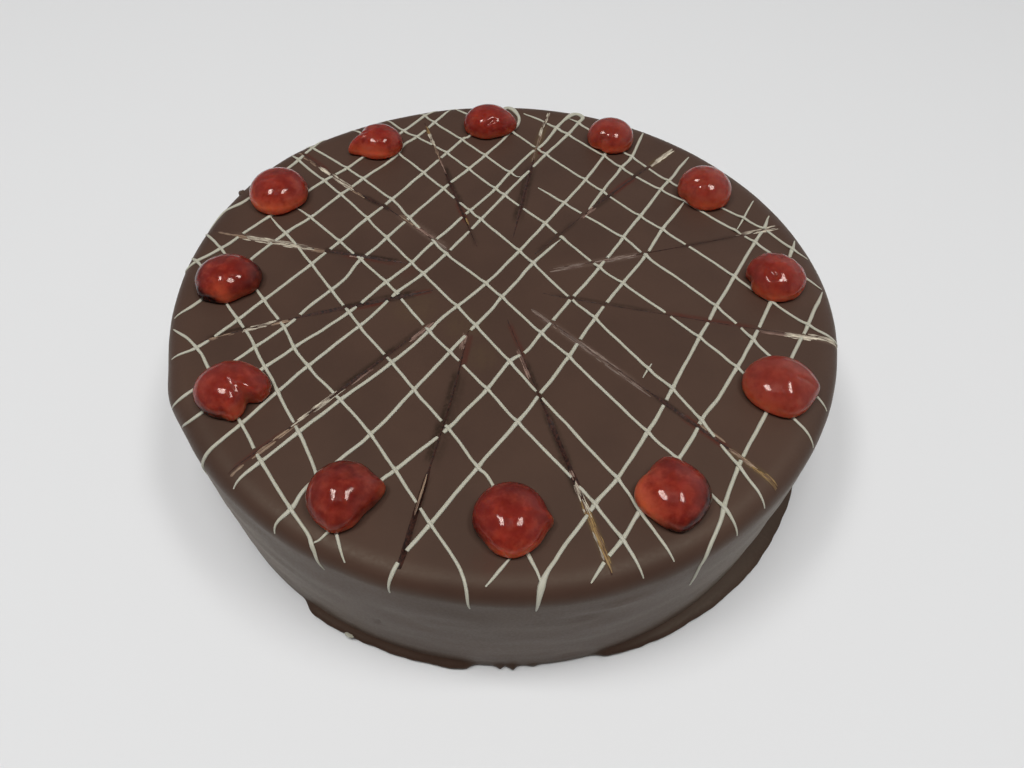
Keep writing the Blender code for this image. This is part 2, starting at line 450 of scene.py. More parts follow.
    def foot_spread(self, angle: Array) -> Array:
        """How far the pooled chocolate stands out of the side.

        Args:
            angle: Angles about the axis.

        Returns:
            A distance outwards for each.
        """
        spread = np.zeros_like(angle)
        for foot in self.feet:
            half = (foot.end - foot.start) / 2.0
            offset = turned_from(angle, foot.start + half)
            share = smooth_step((offset + half) / (self.foot_growth * half))
            here = foot.first_spread + (foot.last_spread - foot.first_spread) * share
            spread = np.maximum(spread, here * smooth_step((half - np.abs(offset)) / foot.taper))
        turn = np.radians(angle)
        ring = np.stack([np.cos(turn), np.sin(turn), 0 * turn], axis=1) * self.radius
        uneven = self.foot_relief * (
            grain(ring, self.foot_bump, 3.0) + 0.6 * grain(ring, self.foot_ripple, 5.0))
        return (spread + uneven * np.clip(spread / self.foot_full, 0.15, 1.0)
                + sum(drip.height * bell(angle, drip.angle, drip.spread) for drip in self.drips))

    def relief(self, angle: Array, along: Array) -> Array:
        """The coat's soft unevenness.

        Args:
            angle: Angles about the axis.
            along: Path length from the axis, over the rim and down the side.

        Returns:
            A distance outwards from the plain skin for each.
        """
        turn = np.radians(angle)
        flat = np.stack([along * np.cos(turn), along * np.sin(turn), 0 * along], axis=1)
        top = self.top_relief * grain(flat, self.top_bump, 1.0)
        level = self.height - self.rim_depth - (along - self.rim_length())
        wall = np.stack([self.radius * np.cos(turn), self.radius * np.sin(turn),
                         self.side_squash * level], axis=1)
        ripple = self.side_relief * (
            grain(wall, self.side_bump, 2.0) + 0.35 * grain(wall, self.side_ripple, 4.0))
        ridge = self.ridge_height * np.exp(-((level - self.ridge_level) / self.ridge_half) ** 2)
        ridge *= np.clip(0.55 + 1.2 * grain(wall * [1.0, 1.0, 0.0], self.ridge_gap, 6.0), 0.0, 1.0)
        share = smooth_step((along - self.side_start) / self.side_blend)
        fade = smooth_step((level - self.foot_clear) / self.foot_clear)
        for spot in self.dimples:
            aside = np.radians(turned_from(angle, spot.angle)) * self.radius / spot.across
            ripple = ripple - spot.depth * np.exp(-aside ** 2 - ((level - spot.level) / spot.tall) ** 2)
        return top * (1.0 - share) + (ripple + ridge) * share * fade

    def unroll(self, places: Array) -> Array:
        """Lays points of the top and the rim out flat.

        Args:
            places: Rows of x, y, z in the cake's frame.

        Returns:
            Rows of unrolled x and y.
        """
        out = np.hypot(places[:, 0], places[:, 1])
        edge = self.radius - self.rim_width
        along = np.where(out > edge, edge + np.hypot(out - edge, self.height - places[:, 2]), out)
        return places[:, :2] * (along / np.maximum(out, 1e-9))[:, None]

    def fold(self, flat: Array) -> Array:
        """Puts unrolled points on the cake.

        Args:
            flat: Rows of unrolled x and y in metres, and the height above the skin.

        Returns:
            Rows of x, y, z in the cake's frame.
        """
        along = np.hypot(flat[:, 0], flat[:, 1])
        angle = np.degrees(np.arctan2(flat[:, 1], flat[:, 0]))
        out, level, face_out, face_up = self.profile(along)
        lift = flat[:, 2] + self.relief(angle, along)
        out = out + self.out_of_round(angle) * (out / self.radius) ** 2 + face_out * lift
        turn = np.radians(angle)
        return np.stack([out * np.cos(turn), out * np.sin(turn), level + face_up * lift], axis=1)


# -------- finishes
@dataclass(frozen=True)
class PouredChocolate:
    """Dark chocolate glaze, poured warm and set: a satin brown skin with a faint cloudiness."""

    name: str = "dark_chocolate_glaze"
    deep: str = "422e26"
    bloom: str = "48332a"
    gloss_rough: float = 0.52
    butter_sheen: tuple[float, float, float, float] = (1.0, 0.955, 0.78, 1.0)
    cloud_mm: float = 24.0          # soft clouds in the colour, as wide as a thumb
    grain_mm: float = 0.9           # the skin's grain; finer than this would not show
    smear_mm: float = 1.6           # how broken up a rubbed stain is

    def material(self) -> Material:
        """Makes the material, which reads the attribute rub: the colour of a stain or of painted shade, and
        its strength as alpha.

        Returns:
            The material.
        """
        made, tree, shader = new_material(self.name)
        place = add_node(tree, "ShaderNodeTexCoord").outputs["Object"]
        cloud = add_node(tree, "ShaderNodeTexNoise", {
            "Vector": place, "Scale": 1000.0 / self.cloud_mm, "Detail": 4.0, "Roughness": 0.55})
        skin = add_node(tree, "ShaderNodeTexNoise", {
            "Vector": place, "Scale": 1000.0 / self.grain_mm, "Detail": 2.0, "Roughness": 0.6})
        share = add_node(tree, "ShaderNodeMapRange", {
            "Value": cloud.outputs["Fac"], "From Min": 0.35, "From Max": 0.65})
        colour = add_node(tree, "ShaderNodeMix", {
            "Factor": share.outputs["Result"], 6: linear(self.deep), 7: linear(self.bloom)},
            data_type="RGBA")
        rub = add_node(tree, "ShaderNodeAttribute", attribute_name="rub")
        smear = add_node(tree, "ShaderNodeTexNoise", {
            "Vector": place, "Scale": 1000.0 / self.smear_mm, "Detail": 3.0, "Roughness": 0.7})
        patchy = add_node(tree, "ShaderNodeMapRange", {
            "Value": smear.outputs["Fac"], "From Min": 0.22, "From Max": 0.48})
        stain = add_node(tree, "ShaderNodeMath", {
            0: rub.outputs["Alpha"], 1: patchy.outputs["Result"]}, operation="MULTIPLY")
        colour = add_node(tree, "ShaderNodeMix", {
            "Factor": stain.outputs["Value"], 6: colour.outputs[2], 7: rub.outputs["Color"]},
            data_type="RGBA")
        rough = add_node(tree, "ShaderNodeMapRange", {
            "Value": skin.outputs["Fac"], "From Min": 0.3, "From Max": 0.7,
            "To Min": self.gloss_rough - 0.05, "To Max": self.gloss_rough + 0.05})
        bump = add_node(tree, "ShaderNodeBump", {
            "Height": skin.outputs["Fac"], "Strength": 0.35, "Distance": 0.00005})
        fill(tree, shader, {
            "Base Color": colour.outputs[2], "Roughness": rough.outputs["Result"],
            "Normal": bump.outputs["Normal"], "IOR": 1.39, "Specular Tint": self.butter_sheen,
            "Sheen Weight": 0.08, "Sheen Roughness": 0.35, "Sheen Tint": self.butter_sheen})
        return made


@dataclass(frozen=True)
class CutChocolate:
    """Where the knife broke the coat: dull red-brown, with moist crumb caught in the broken edge."""

    name: str = "cut_chocolate_and_sponge"
    deep: str = "1e0f0a"
    crumb: str = "44251b"
    crumb_mm: float = 1.1

    def material(self) -> Material:
        """Makes the material.

        Returns:
            The material.
        """
        made, tree, shader = new_material(self.name)
        place = add_node(tree, "ShaderNodeTexCoord").outputs["Object"]
        crumb = add_node(tree, "ShaderNodeTexNoise", {
            "Vector": place, "Scale": 1000.0 / self.crumb_mm, "Detail": 4.0, "Roughness": 0.65})
        share = add_node(tree, "ShaderNodeMapRange", {
            "Value": crumb.outputs["Fac"], "From Min": 0.38, "From Max": 0.62})
        colour = add_node(tree, "ShaderNodeMix", {
            "Factor": share.outputs["Result"], 6: linear(self.deep), 7: linear(self.crumb)},
            data_type="RGBA")
        bump = add_node(tree, "ShaderNodeBump", {
            "Height": crumb.outputs["Fac"], "Strength": 0.6, "Distance": 0.0002})
        fill(tree, shader, {
            "Base Color": colour.outputs[2], "Normal": bump.outputs["Normal"], "Roughness": 0.62,
            "IOR": 1.45})
        return made


@dataclass(frozen=True)
class GlaceCherryFlesh:
    """Candied cherry, cooked in syrup until it is clear: light soaks in, and its orange glow low down is
    painted into the colour.
    """

    name: str = "glace_cherry_flesh"
    # dark: the cherry's darker tone, and the colour of its painted shade
    dark: str = "2c080b"
    body: str = "943026"
    # the orange of the painted glow, where light that soaked in comes out
    glow: str = "fa7a54"
    # the pale veil's colour: partly the syrup's own cloudiness, partly painted sheen
    cloud: str = "a04c3e"
    syrup_sheen: tuple[float, float, float, float] = (1.0, 0.82, 0.76, 1.0)
    rough: float = 0.09
    flesh_mm: float = 4.0           # lighter and darker places in the flesh
    skin_mm: float = 1.4            # the skin's soft wrinkles

    def material(self) -> Material:
        """Makes the material, which reads the attributes glow (painted glow), shade (darker tone and painted
        shade) and cloud.

        Returns:
            The material.
        """
        made, tree, shader = new_material(self.name)
        place = add_node(tree, "ShaderNodeTexCoord").outputs["Object"]
        flesh = add_node(tree, "ShaderNodeTexNoise", {
            "Vector": place, "Scale": 1000.0 / self.flesh_mm, "Detail": 3.0, "Roughness": 0.6})
        skin = add_node(tree, "ShaderNodeTexNoise", {
            "Vector": place, "Scale": 1000.0 / self.skin_mm, "Detail": 2.0, "Roughness": 0.5})
        glow = add_node(tree, "ShaderNodeAttribute", attribute_name="glow")
        shade = add_node(tree, "ShaderNodeAttribute", attribute_name="shade")
        cloud = add_node(tree, "ShaderNodeAttribute", attribute_name="cloud")
        mottle = add_node(tree, "ShaderNodeMath", {
            0: flesh.outputs["Fac"], 1: 0.5}, operation="SUBTRACT")
        # painted glow: mixes in orange where the attribute glow says light comes out
        warm = add_node(tree, "ShaderNodeMath", {
            0: mottle.outputs["Value"], 1: 0.7, 2: glow.outputs["Fac"]},
            operation="MULTIPLY_ADD", use_clamp=True)
        # shade: darker tone, and painted shade towards the back and low round the sides
        dim = add_node(tree, "ShaderNodeMath", {
            0: mottle.outputs["Value"], 1: -0.9, 2: shade.outputs["Fac"]},
            operation="MULTIPLY_ADD", use_clamp=True)
        lit = add_node(tree, "ShaderNodeMix", {
            "Factor": warm.outputs["Value"], 6: linear(self.body), 7: linear(self.glow)},
            data_type="RGBA")
        colour = add_node(tree, "ShaderNodeMix", {
            "Factor": dim.outputs["Value"], 6: lit.outputs[2], 7: linear(self.dark)},
            data_type="RGBA")
        # a pale veil where the attribute cloud says: partly the syrup's cloudiness, partly painted sheen
        haze = add_node(tree, "ShaderNodeMath", {
            0: mottle.outputs["Value"], 1: 0.8, 2: cloud.outputs["Fac"]},
            operation="MULTIPLY_ADD", use_clamp=True)
        colour = add_node(tree, "ShaderNodeMix", {
            "Factor": haze.outputs["Value"], 6: colour.outputs[2], 7: linear(self.cloud)},
            data_type="RGBA")
        bump = add_node(tree, "ShaderNodeBump", {
            "Height": skin.outputs["Fac"], "Strength": 0.12, "Distance": 0.0001})
        fill(tree, shader, {
            "Base Color": colour.outputs[2], "Normal": bump.outputs["Normal"], "Roughness": self.rough,
            "IOR": 1.33, "Specular Tint": self.syrup_sheen, "Transmission Weight": 0.30,
            "Subsurface Weight": 0.85, "Subsurface Radius": (1.0, 0.12, 0.05), "Subsurface Scale": 0.0048})
        return made


@dataclass(frozen=True)
class WhiteChocolate:
    """White chocolate from a piping bag, set: cocoa butter gives it a greenish cream and a dull shine."""

    name: str = "white_chocolate_drizzle"
    pale: str = "bab8aa"
    fat: str = "adab9a"
    patch_mm: float = 5.0

    def material(self) -> Material:
        """Makes the material.

        Returns:
            The material.
        """
        made, tree, shader = new_material(self.name)
        place = add_node(tree, "ShaderNodeTexCoord").outputs["Object"]
        patch = add_node(tree, "ShaderNodeTexNoise", {
            "Vector": place, "Scale": 1000.0 / self.patch_mm, "Detail": 3.0})
        colour = add_node(tree, "ShaderNodeMix", {
            "Factor": patch.outputs["Fac"], 6: linear(self.pale), 7: linear(self.fat)},
            data_type="RGBA")
        bump = add_node(tree, "ShaderNodeBump", {
            "Height": patch.outputs["Fac"], "Strength": 0.3, "Distance": 0.0002})
        fill(tree, shader, {
            "Base Color": colour.outputs[2], "Normal": bump.outputs["Normal"], "Roughness": 0.48,
            "IOR": 1.46, "Subsurface Weight": 0.15, "Subsurface Radius": (1.0, 0.9, 0.6),
            "Subsurface Scale": 0.0006})
        return made


@dataclass(frozen=True)
class DraggedCrumb:
    """Cream, sponge crumb and scraped chocolate that the knife dragged up: moist, dull and streaky."""

    name: str = "dragged_cream_and_crumb"
    coat: str = "4a2f26"            # the coat that shows between the scratches
    streak_mm: float = 6.0          # a scratch is this long
    lane_mm: float = 0.5            # and this wide

    def material(self) -> Material:
        """Makes the material, which reads the attributes tint and lane.

        Returns:
            The material.
        """
        made, tree, shader = new_material(self.name)
        tint = add_node(tree, "ShaderNodeAttribute", attribute_name="tint")
        lane = add_node(tree, "ShaderNodeAttribute", attribute_name="lane")
        combed = add_node(tree, "ShaderNodeVectorMath", {
            0: lane.outputs["Vector"], 1: (1.0 / self.streak_mm, 1.0 / self.lane_mm, 1.0)},
            operation="MULTIPLY")
        streak = add_node(tree, "ShaderNodeTexNoise", {
            "Vector": combed.outputs["Vector"], "Scale": 1.0, "Detail": 3.0, "Roughness": 0.6})
        share = add_node(tree, "ShaderNodeMapRange", {
            "Value": streak.outputs["Fac"], "From Min": 0.38, "From Max": 0.64})
        colour = add_node(tree, "ShaderNodeMix", {
            "Factor": share.outputs["Result"], 6: tint.outputs["Color"], 7: linear(self.coat)},
            data_type="RGBA")
        bump = add_node(tree, "ShaderNodeBump", {
            "Height": streak.outputs["Fac"], "Strength": 0.6, "Distance": 0.0002})
        fill(tree, shader, {
            "Base Color": colour.outputs[2], "Normal": bump.outputs["Normal"], "Roughness": 0.5,
            "IOR": 1.42})
        return made


# -------- knife scores
class Dragged(Enum):
    """What the knife dragged up along a score, by its colour."""

    CREAM = "cdc4b0"
    TAN = "97806a"
    GOLD = "8f7446"
    BLUSH = "8a7064"
    DUST = "7c6c62"


class Rubbed(Enum):
    """The stain that a knife left where it only rubbed the coat, by its colour."""

    RED = "481a12"
    # BROWN is also the colour of the painted shade on the pool at the base
    BROWN = "26150c"
    CLAY = "665349"
    OLIVE = "55442c"


CREAM, TAN, GOLD, BLUSH, DUST = Dragged
RED, BROWN, CLAY, OLIVE = Rubbed


@dataclass(frozen=True)
class Smear:
    """One streak beside or in a score: from one share of its length to another, 0 being outermost."""

    start: float
    end: float
    width_mm: float
    what: Dragged
    offset_mm: float = 0.0


@dataclass(frozen=True)
class Rub:
    """A soft stain along a score: where it runs, its width, colour and strength."""

    start: float
    end: float
    width_mm: float
    what: Rubbed
    strength: float = 0.7
    offset_mm: float = 0.0


@dataclass(frozen=True)
class Score:
    """A knife score: its path from the outer end, its width, how deep it is where, what lies along it."""

    path: tuple[Point, ...]
    width_mm: float
    depths: tuple[Point, ...]       # share of the length, depth in mm
    smears: tuple[Smear, ...] = ()
    rubs: tuple[Rub, ...] = ()

    def line(self, step: float = 1.0) -> Array:
        """Points along the score at an even step, in unrolled millimetres."""
        return smooth_path(self.path, step)

    def frame(self, step: float) -> tuple[Array, Array, Array]:
        """Points along the score, the direction across it at each, and each point's share of its length.

        Args:
            step: The distance between points in millimetres.

        Returns:
            Rows of x, y in metres, rows of unit x, y, and the shares.
        """
        line = self.line(step) * MM
        along = np.gradient(line, axis=0)
        across = np.stack([-along[:, 1], along[:, 0]], axis=1) / np.hypot(*along.T)[:, None]
        return line, across, np.linspace(0.0, 1.0, len(line))


SCORES = (
    Score(((107.8, 37.1), (91.5, 31.1), (52.6, 19.4), (15.7, 9.2)), 1.2,
          ((0.0, 0.12), (0.2, 0.2), (0.3, 0.3), (0.55, 0.3), (0.7, 0.12), (1.0, 0.1)),
          (Smear(0.0, 0.13, 1.9, CREAM, 0.4), Smear(0.03, 0.2, 1.3, CREAM, -0.7),
           Smear(0.62, 0.72, 2.1, DUST, 0.1), Smear(0.71, 0.81, 1.4, DUST, 0.4),
           Smear(0.86, 1.0, 2.1, DUST, 0.5)),
          (Rub(0.18, 0.48, 2.4, BROWN, 0.55), Rub(0.58, 1.0, 3.2, CLAY, 0.5, 0.2))),
    Score(((71.7, 86.2), (40.6, 52.6), (10.9, 17.5)), 2.0,
          ((0.0, 0.12), (0.25, 0.25), (0.45, 0.45), (0.6, 0.4), (0.7, 0.2), (1.0, 0.12)),
          (Smear(0.0, 0.18, 2.1, CREAM), Smear(0.6, 0.7, 2.0, BLUSH, 0.3)),
          (Rub(0.0, 0.2, 3.2, OLIVE, 0.8), Rub(0.18, 0.38, 2.2, BROWN, 0.6, -0.5),
           Rub(0.28, 0.54, 3.2, RED, 0.9, 0.1), Rub(0.44, 0.61, 3.6, BROWN, 0.8, 0.2),
           Rub(0.7, 1.0, 3.0, BROWN, 0.5))),
    Score(((18.5, 111.8), (12.0, 82.8), (2.6, 26.4)), 2.6,
          ((0.0, 0.12), (0.4, 0.2), (0.5, 0.55), (0.8, 0.5), (0.92, 0.25), (1.0, 0.1)),
          (Smear(0.0, 0.13, 1.6, CREAM, -0.5), Smear(0.1, 0.25, 1.0, CREAM, -0.6),
           Smear(0.22, 0.46, 1.0, TAN, -0.1)),
          (Rub(0.1, 0.46, 3.4, OLIVE, 0.7), Rub(0.45, 0.92, 4.4, BROWN, 1.0, -0.2),
           Rub(0.3, 0.38, 2.4, RED, 1.0, 1.4))),
    Score(((-37.3, 100.9), (-24.0, 60.0), (-11.0, 20.6)), 1.7,
          ((0.0, 0.15), (0.4, 0.25), (0.48, 0.6), (0.6, 0.4), (0.78, 0.5), (0.9, 0.2), (1.0, 0.1)),
          (Smear(0.02, 0.1, 0.9, GOLD), Smear(0.08, 0.21, 1.4, CREAM), Smear(0.2, 0.32, 0.9, TAN),
           Smear(0.32, 0.46, 0.5, BLUSH), Smear(0.79, 0.86, 0.8, GOLD, 0.5)),
          (Rub(0.38, 0.54, 2.0, BROWN, 1.0, 1.0), Rub(0.47, 0.63, 2.8, BROWN, 0.9, 0.2),
           Rub(0.6, 0.73, 2.2, BROWN, 0.8, 1.1), Rub(0.66, 0.84, 2.6, RED, 1.0, -0.1),
           Rub(0.84, 1.0, 2.4, BROWN, 0.4))),
    Score(((-89.5, 78.9), (-73.0, 63.0), (-55.8, 47.8), (-44.6, 39.6), (-21.2, 17.6)), 1.5,
          ((0.0, 0.12), (0.45, 0.15), (0.5, 0.6), (0.58, 0.5), (0.66, 0.2), (1.0, 0.1)),
          (Smear(0.04, 0.18, 1.2, TAN, -0.8), Smear(0.18, 0.31, 1.6, CREAM, -0.4),
           Smear(0.28, 0.43, 2.0, CREAM, -0.2), Smear(0.4, 0.49, 1.2, TAN, -0.4),
           Smear(0.68, 0.8, 2.2, TAN, 0.9), Smear(0.78, 0.9, 1.6, BLUSH, 0.5),
           Smear(0.9, 0.99, 1.2, DUST, 0.2)),
          (Rub(0.02, 0.24, 2.2, RED, 0.8, 0.6), Rub(0.46, 0.64, 2.6, BROWN, 1.0, 0.1),
           Rub(0.66, 1.0, 3.6, CLAY, 0.7, 0.6))),
    Score(((-112.8, 26.8), (-100.9, 23.8), (-71.7, 17.3), (-36.7, 10.8)), 1.8,
          ((0.0, 0.12), (0.1, 0.15), (0.56, 0.2), (0.62, 0.55), (0.85, 0.6), (1.0, 0.15)),
          (Smear(0.02, 0.12, 0.8, TAN, -0.5), Smear(0.1, 0.2, 1.5, TAN, -0.8),
           Smear(0.17, 0.36, 2.3, CREAM, -0.6), Smear(0.3, 0.53, 2.8, CREAM, -0.1),
           Smear(0.5, 0.6, 1.8, TAN, -0.4), Smear(0.7, 0.78, 0.8, BLUSH, -0.9)),
          (Rub(0.08, 0.6, 3.2, CLAY, 0.5), Rub(0.57, 0.74, 3.2, BROWN, 0.8, 0.3),
           Rub(0.68, 0.98, 2.6, BROWN, 1.0, 0.4), Rub(0.66, 0.98, 3.6, RED, 0.8, -0.3))),
    Score(((-103.6, -30.3), (-77.4, -19.6), (-26.1, -3.0)), 1.9,
          ((0.0, 0.15), (0.38, 0.25), (0.48, 0.6), (0.66, 0.9), (0.85, 0.8), (0.95, 0.4), (1.0, 0.1)),
          (Smear(0.02, 0.14, 1.0, TAN, -0.3), Smear(0.18, 0.31, 1.9, CREAM, -0.2),
           Smear(0.29, 0.4, 1.5, TAN, -0.6)),
          (Rub(0.02, 0.22, 1.8, BROWN, 1.0, 1.0), Rub(0.45, 0.64, 1.8, BROWN, 1.0),
           Rub(0.58, 0.74, 3.2, BROWN, 1.0, 0.2), Rub(0.68, 0.94, 4.0, BROWN, 1.0, 0.3),
           Rub(0.6, 0.82, 2.4, RED, 1.0, -1.0), Rub(0.9, 1.0, 2.4, RED, 0.8))),
    Score(((-82.2, -82.1), (-54.3, -51.3), (-24.8, -18.0)), 1.6,
          ((0.0, 0.15), (0.45, 0.25), (0.55, 0.6), (0.7, 0.5), (0.85, 0.2), (1.0, 0.1)),
          (Smear(0.0, 0.07, 0.8, TAN, -1.2), Smear(0.1, 0.21, 1.6, TAN, -0.9),
           Smear(0.2, 0.3, 1.3, TAN, -0.6), Smear(0.29, 0.5, 1.7, CREAM, -0.1),
           Smear(0.53, 0.67, 0.8, BLUSH, -1.0), Smear(0.86, 0.99, 1.6, BLUSH, -0.7)),
          (Rub(0.0, 0.26, 1.8, RED, 0.6), Rub(0.46, 0.84, 2.6, BROWN, 1.0, 0.5),
           Rub(0.76, 0.95, 2.8, BROWN, 0.6, 0.3))),
    Score(((-27.8, -112.0), (-21.7, -79.3), (-16.2, -50.0), (-12.4, -22.5)), 1.7,
          ((0.0, 0.4), (0.05, 1.1), (0.3, 1.1), (0.36, 0.4), (0.45, 0.3), (0.75, 0.3), (1.0, 0.1)),
          (Smear(0.18, 0.36, 0.5, TAN, 0.2), Smear(0.9, 0.99, 1.8, BLUSH, 0.9)),
          (Rub(0.02, 0.36, 2.4, BROWN, 0.9, -0.3), Rub(0.38, 0.58, 3.2, BROWN, 1.0, 0.9),
           Rub(0.52, 0.82, 3.6, BROWN, 1.0, 0.3), Rub(0.36, 0.82, 5.4, BROWN, 0.5, -0.4),
           Rub(0.8, 1.0, 2.6, RED, 0.7, -0.8))),
    Score(((31.6, -111.8), (23.1, -84.3), (15.5, -60.9), (1.1, -16.8)), 2.0,
          ((0.0, 0.15), (0.22, 0.3), (0.28, 0.9), (0.45, 0.8), (0.56, 0.5), (0.66, 0.2), (1.0, 0.1)),
          (Smear(0.01, 0.22, 1.9, GOLD, -0.1), Smear(0.04, 0.14, 0.6, CREAM, 0.7),
           Smear(0.18, 0.3, 2.0, CREAM, 0.0), Smear(0.27, 0.36, 1.0, BLUSH, 0.1),
           Smear(0.72, 0.86, 1.0, BLUSH, 0.8)),
          (Rub(0.0, 0.26, 2.6, OLIVE, 0.8), Rub(0.25, 0.43, 2.2, BROWN, 1.0, 0.9),
           Rub(0.34, 0.6, 3.2, BROWN, 1.0), Rub(0.54, 0.68, 2.6, BROWN, 0.6),
           Rub(0.66, 0.82, 2.2, BROWN, 0.8, -0.3), Rub(0.8, 1.0, 2.2, RED, 0.6, -0.2))),
    Score(((84.8, -82.6), (52.7, -51.8), (9.8, -11.0)), 2.0,
          ((0.0, 0.12), (0.2, 0.3), (0.3, 0.5), (0.42, 0.5), (0.5, 0.2), (0.55, 0.1), (1.0, 0.08)),
          (Smear(0.0, 0.11, 1.8, GOLD, 0.3), Smear(0.09, 0.2, 1.4, TAN, 0.1),
           Smear(0.2, 0.31, 0.8, TAN, -1.3), Smear(0.5, 0.74, 1.1, DUST, 1.0),
           Smear(0.62, 0.8, 0.8, DUST, -0.4), Smear(0.72, 0.88, 1.8, DUST, 0.4),
           Smear(0.88, 1.0, 1.4, DUST, 0.7)),
          (Rub(0.0, 0.2, 2.8, OLIVE, 0.8, 0.3), Rub(0.17, 0.38, 2.8, RED, 1.0, 0.1),
           Rub(0.25, 0.48, 2.4, BROWN, 1.0), Rub(0.5, 1.0, 3.2, CLAY, 0.5, 0.4))),
    Score(((118.2, -23.8), (100.0, -20.0), (79.5, -16.6), (23.9, -5.6), (13.7, -3.1)), 1.4,
          ((0.0, 0.12), (0.3, 0.15), (0.9, 0.15), (1.0, 0.1)),
          (Smear(0.0, 0.11, 1.9, CREAM, -0.4), Smear(0.07, 0.21, 2.2, CREAM, 0.9),
           Smear(0.19, 0.28, 1.0, BLUSH, 1.0)),
          (Rub(0.0, 0.25, 2.0, CLAY, 0.7, 0.4), Rub(0.26, 0.6, 2.2, RED, 0.8, -0.7),
           Rub(0.58, 1.0, 2.2, BROWN, 0.6, -0.6))),
)


@dataclass(frozen=True)
class Smudge:
    """A faint round stain on the top: its centre and reach in mm, and what it is."""

    x: float
    y: float
    reach_mm: float
    what: Rubbed
    strength: float = 0.22


SMUDGES = (Smudge(-32.0, -12.0, 8.0, OLIVE), Smudge(-14.0, -20.0, 7.0, OLIVE),
           Smudge(-36.0, 8.0, 5.0, RED), Smudge(-8.0, -34.0, 6.0, OLIVE),
           Smudge(-3.0, -109.5, 4.5, RED))


# -------- poured chocolate
@dataclass(frozen=True)
class Mark:
    """A stain laid out flat: points along it, the way across and the strength at each, reach, colour."""

    places: Array
    across: Array
    fade: Array
    reach: float
    what: Rubbed


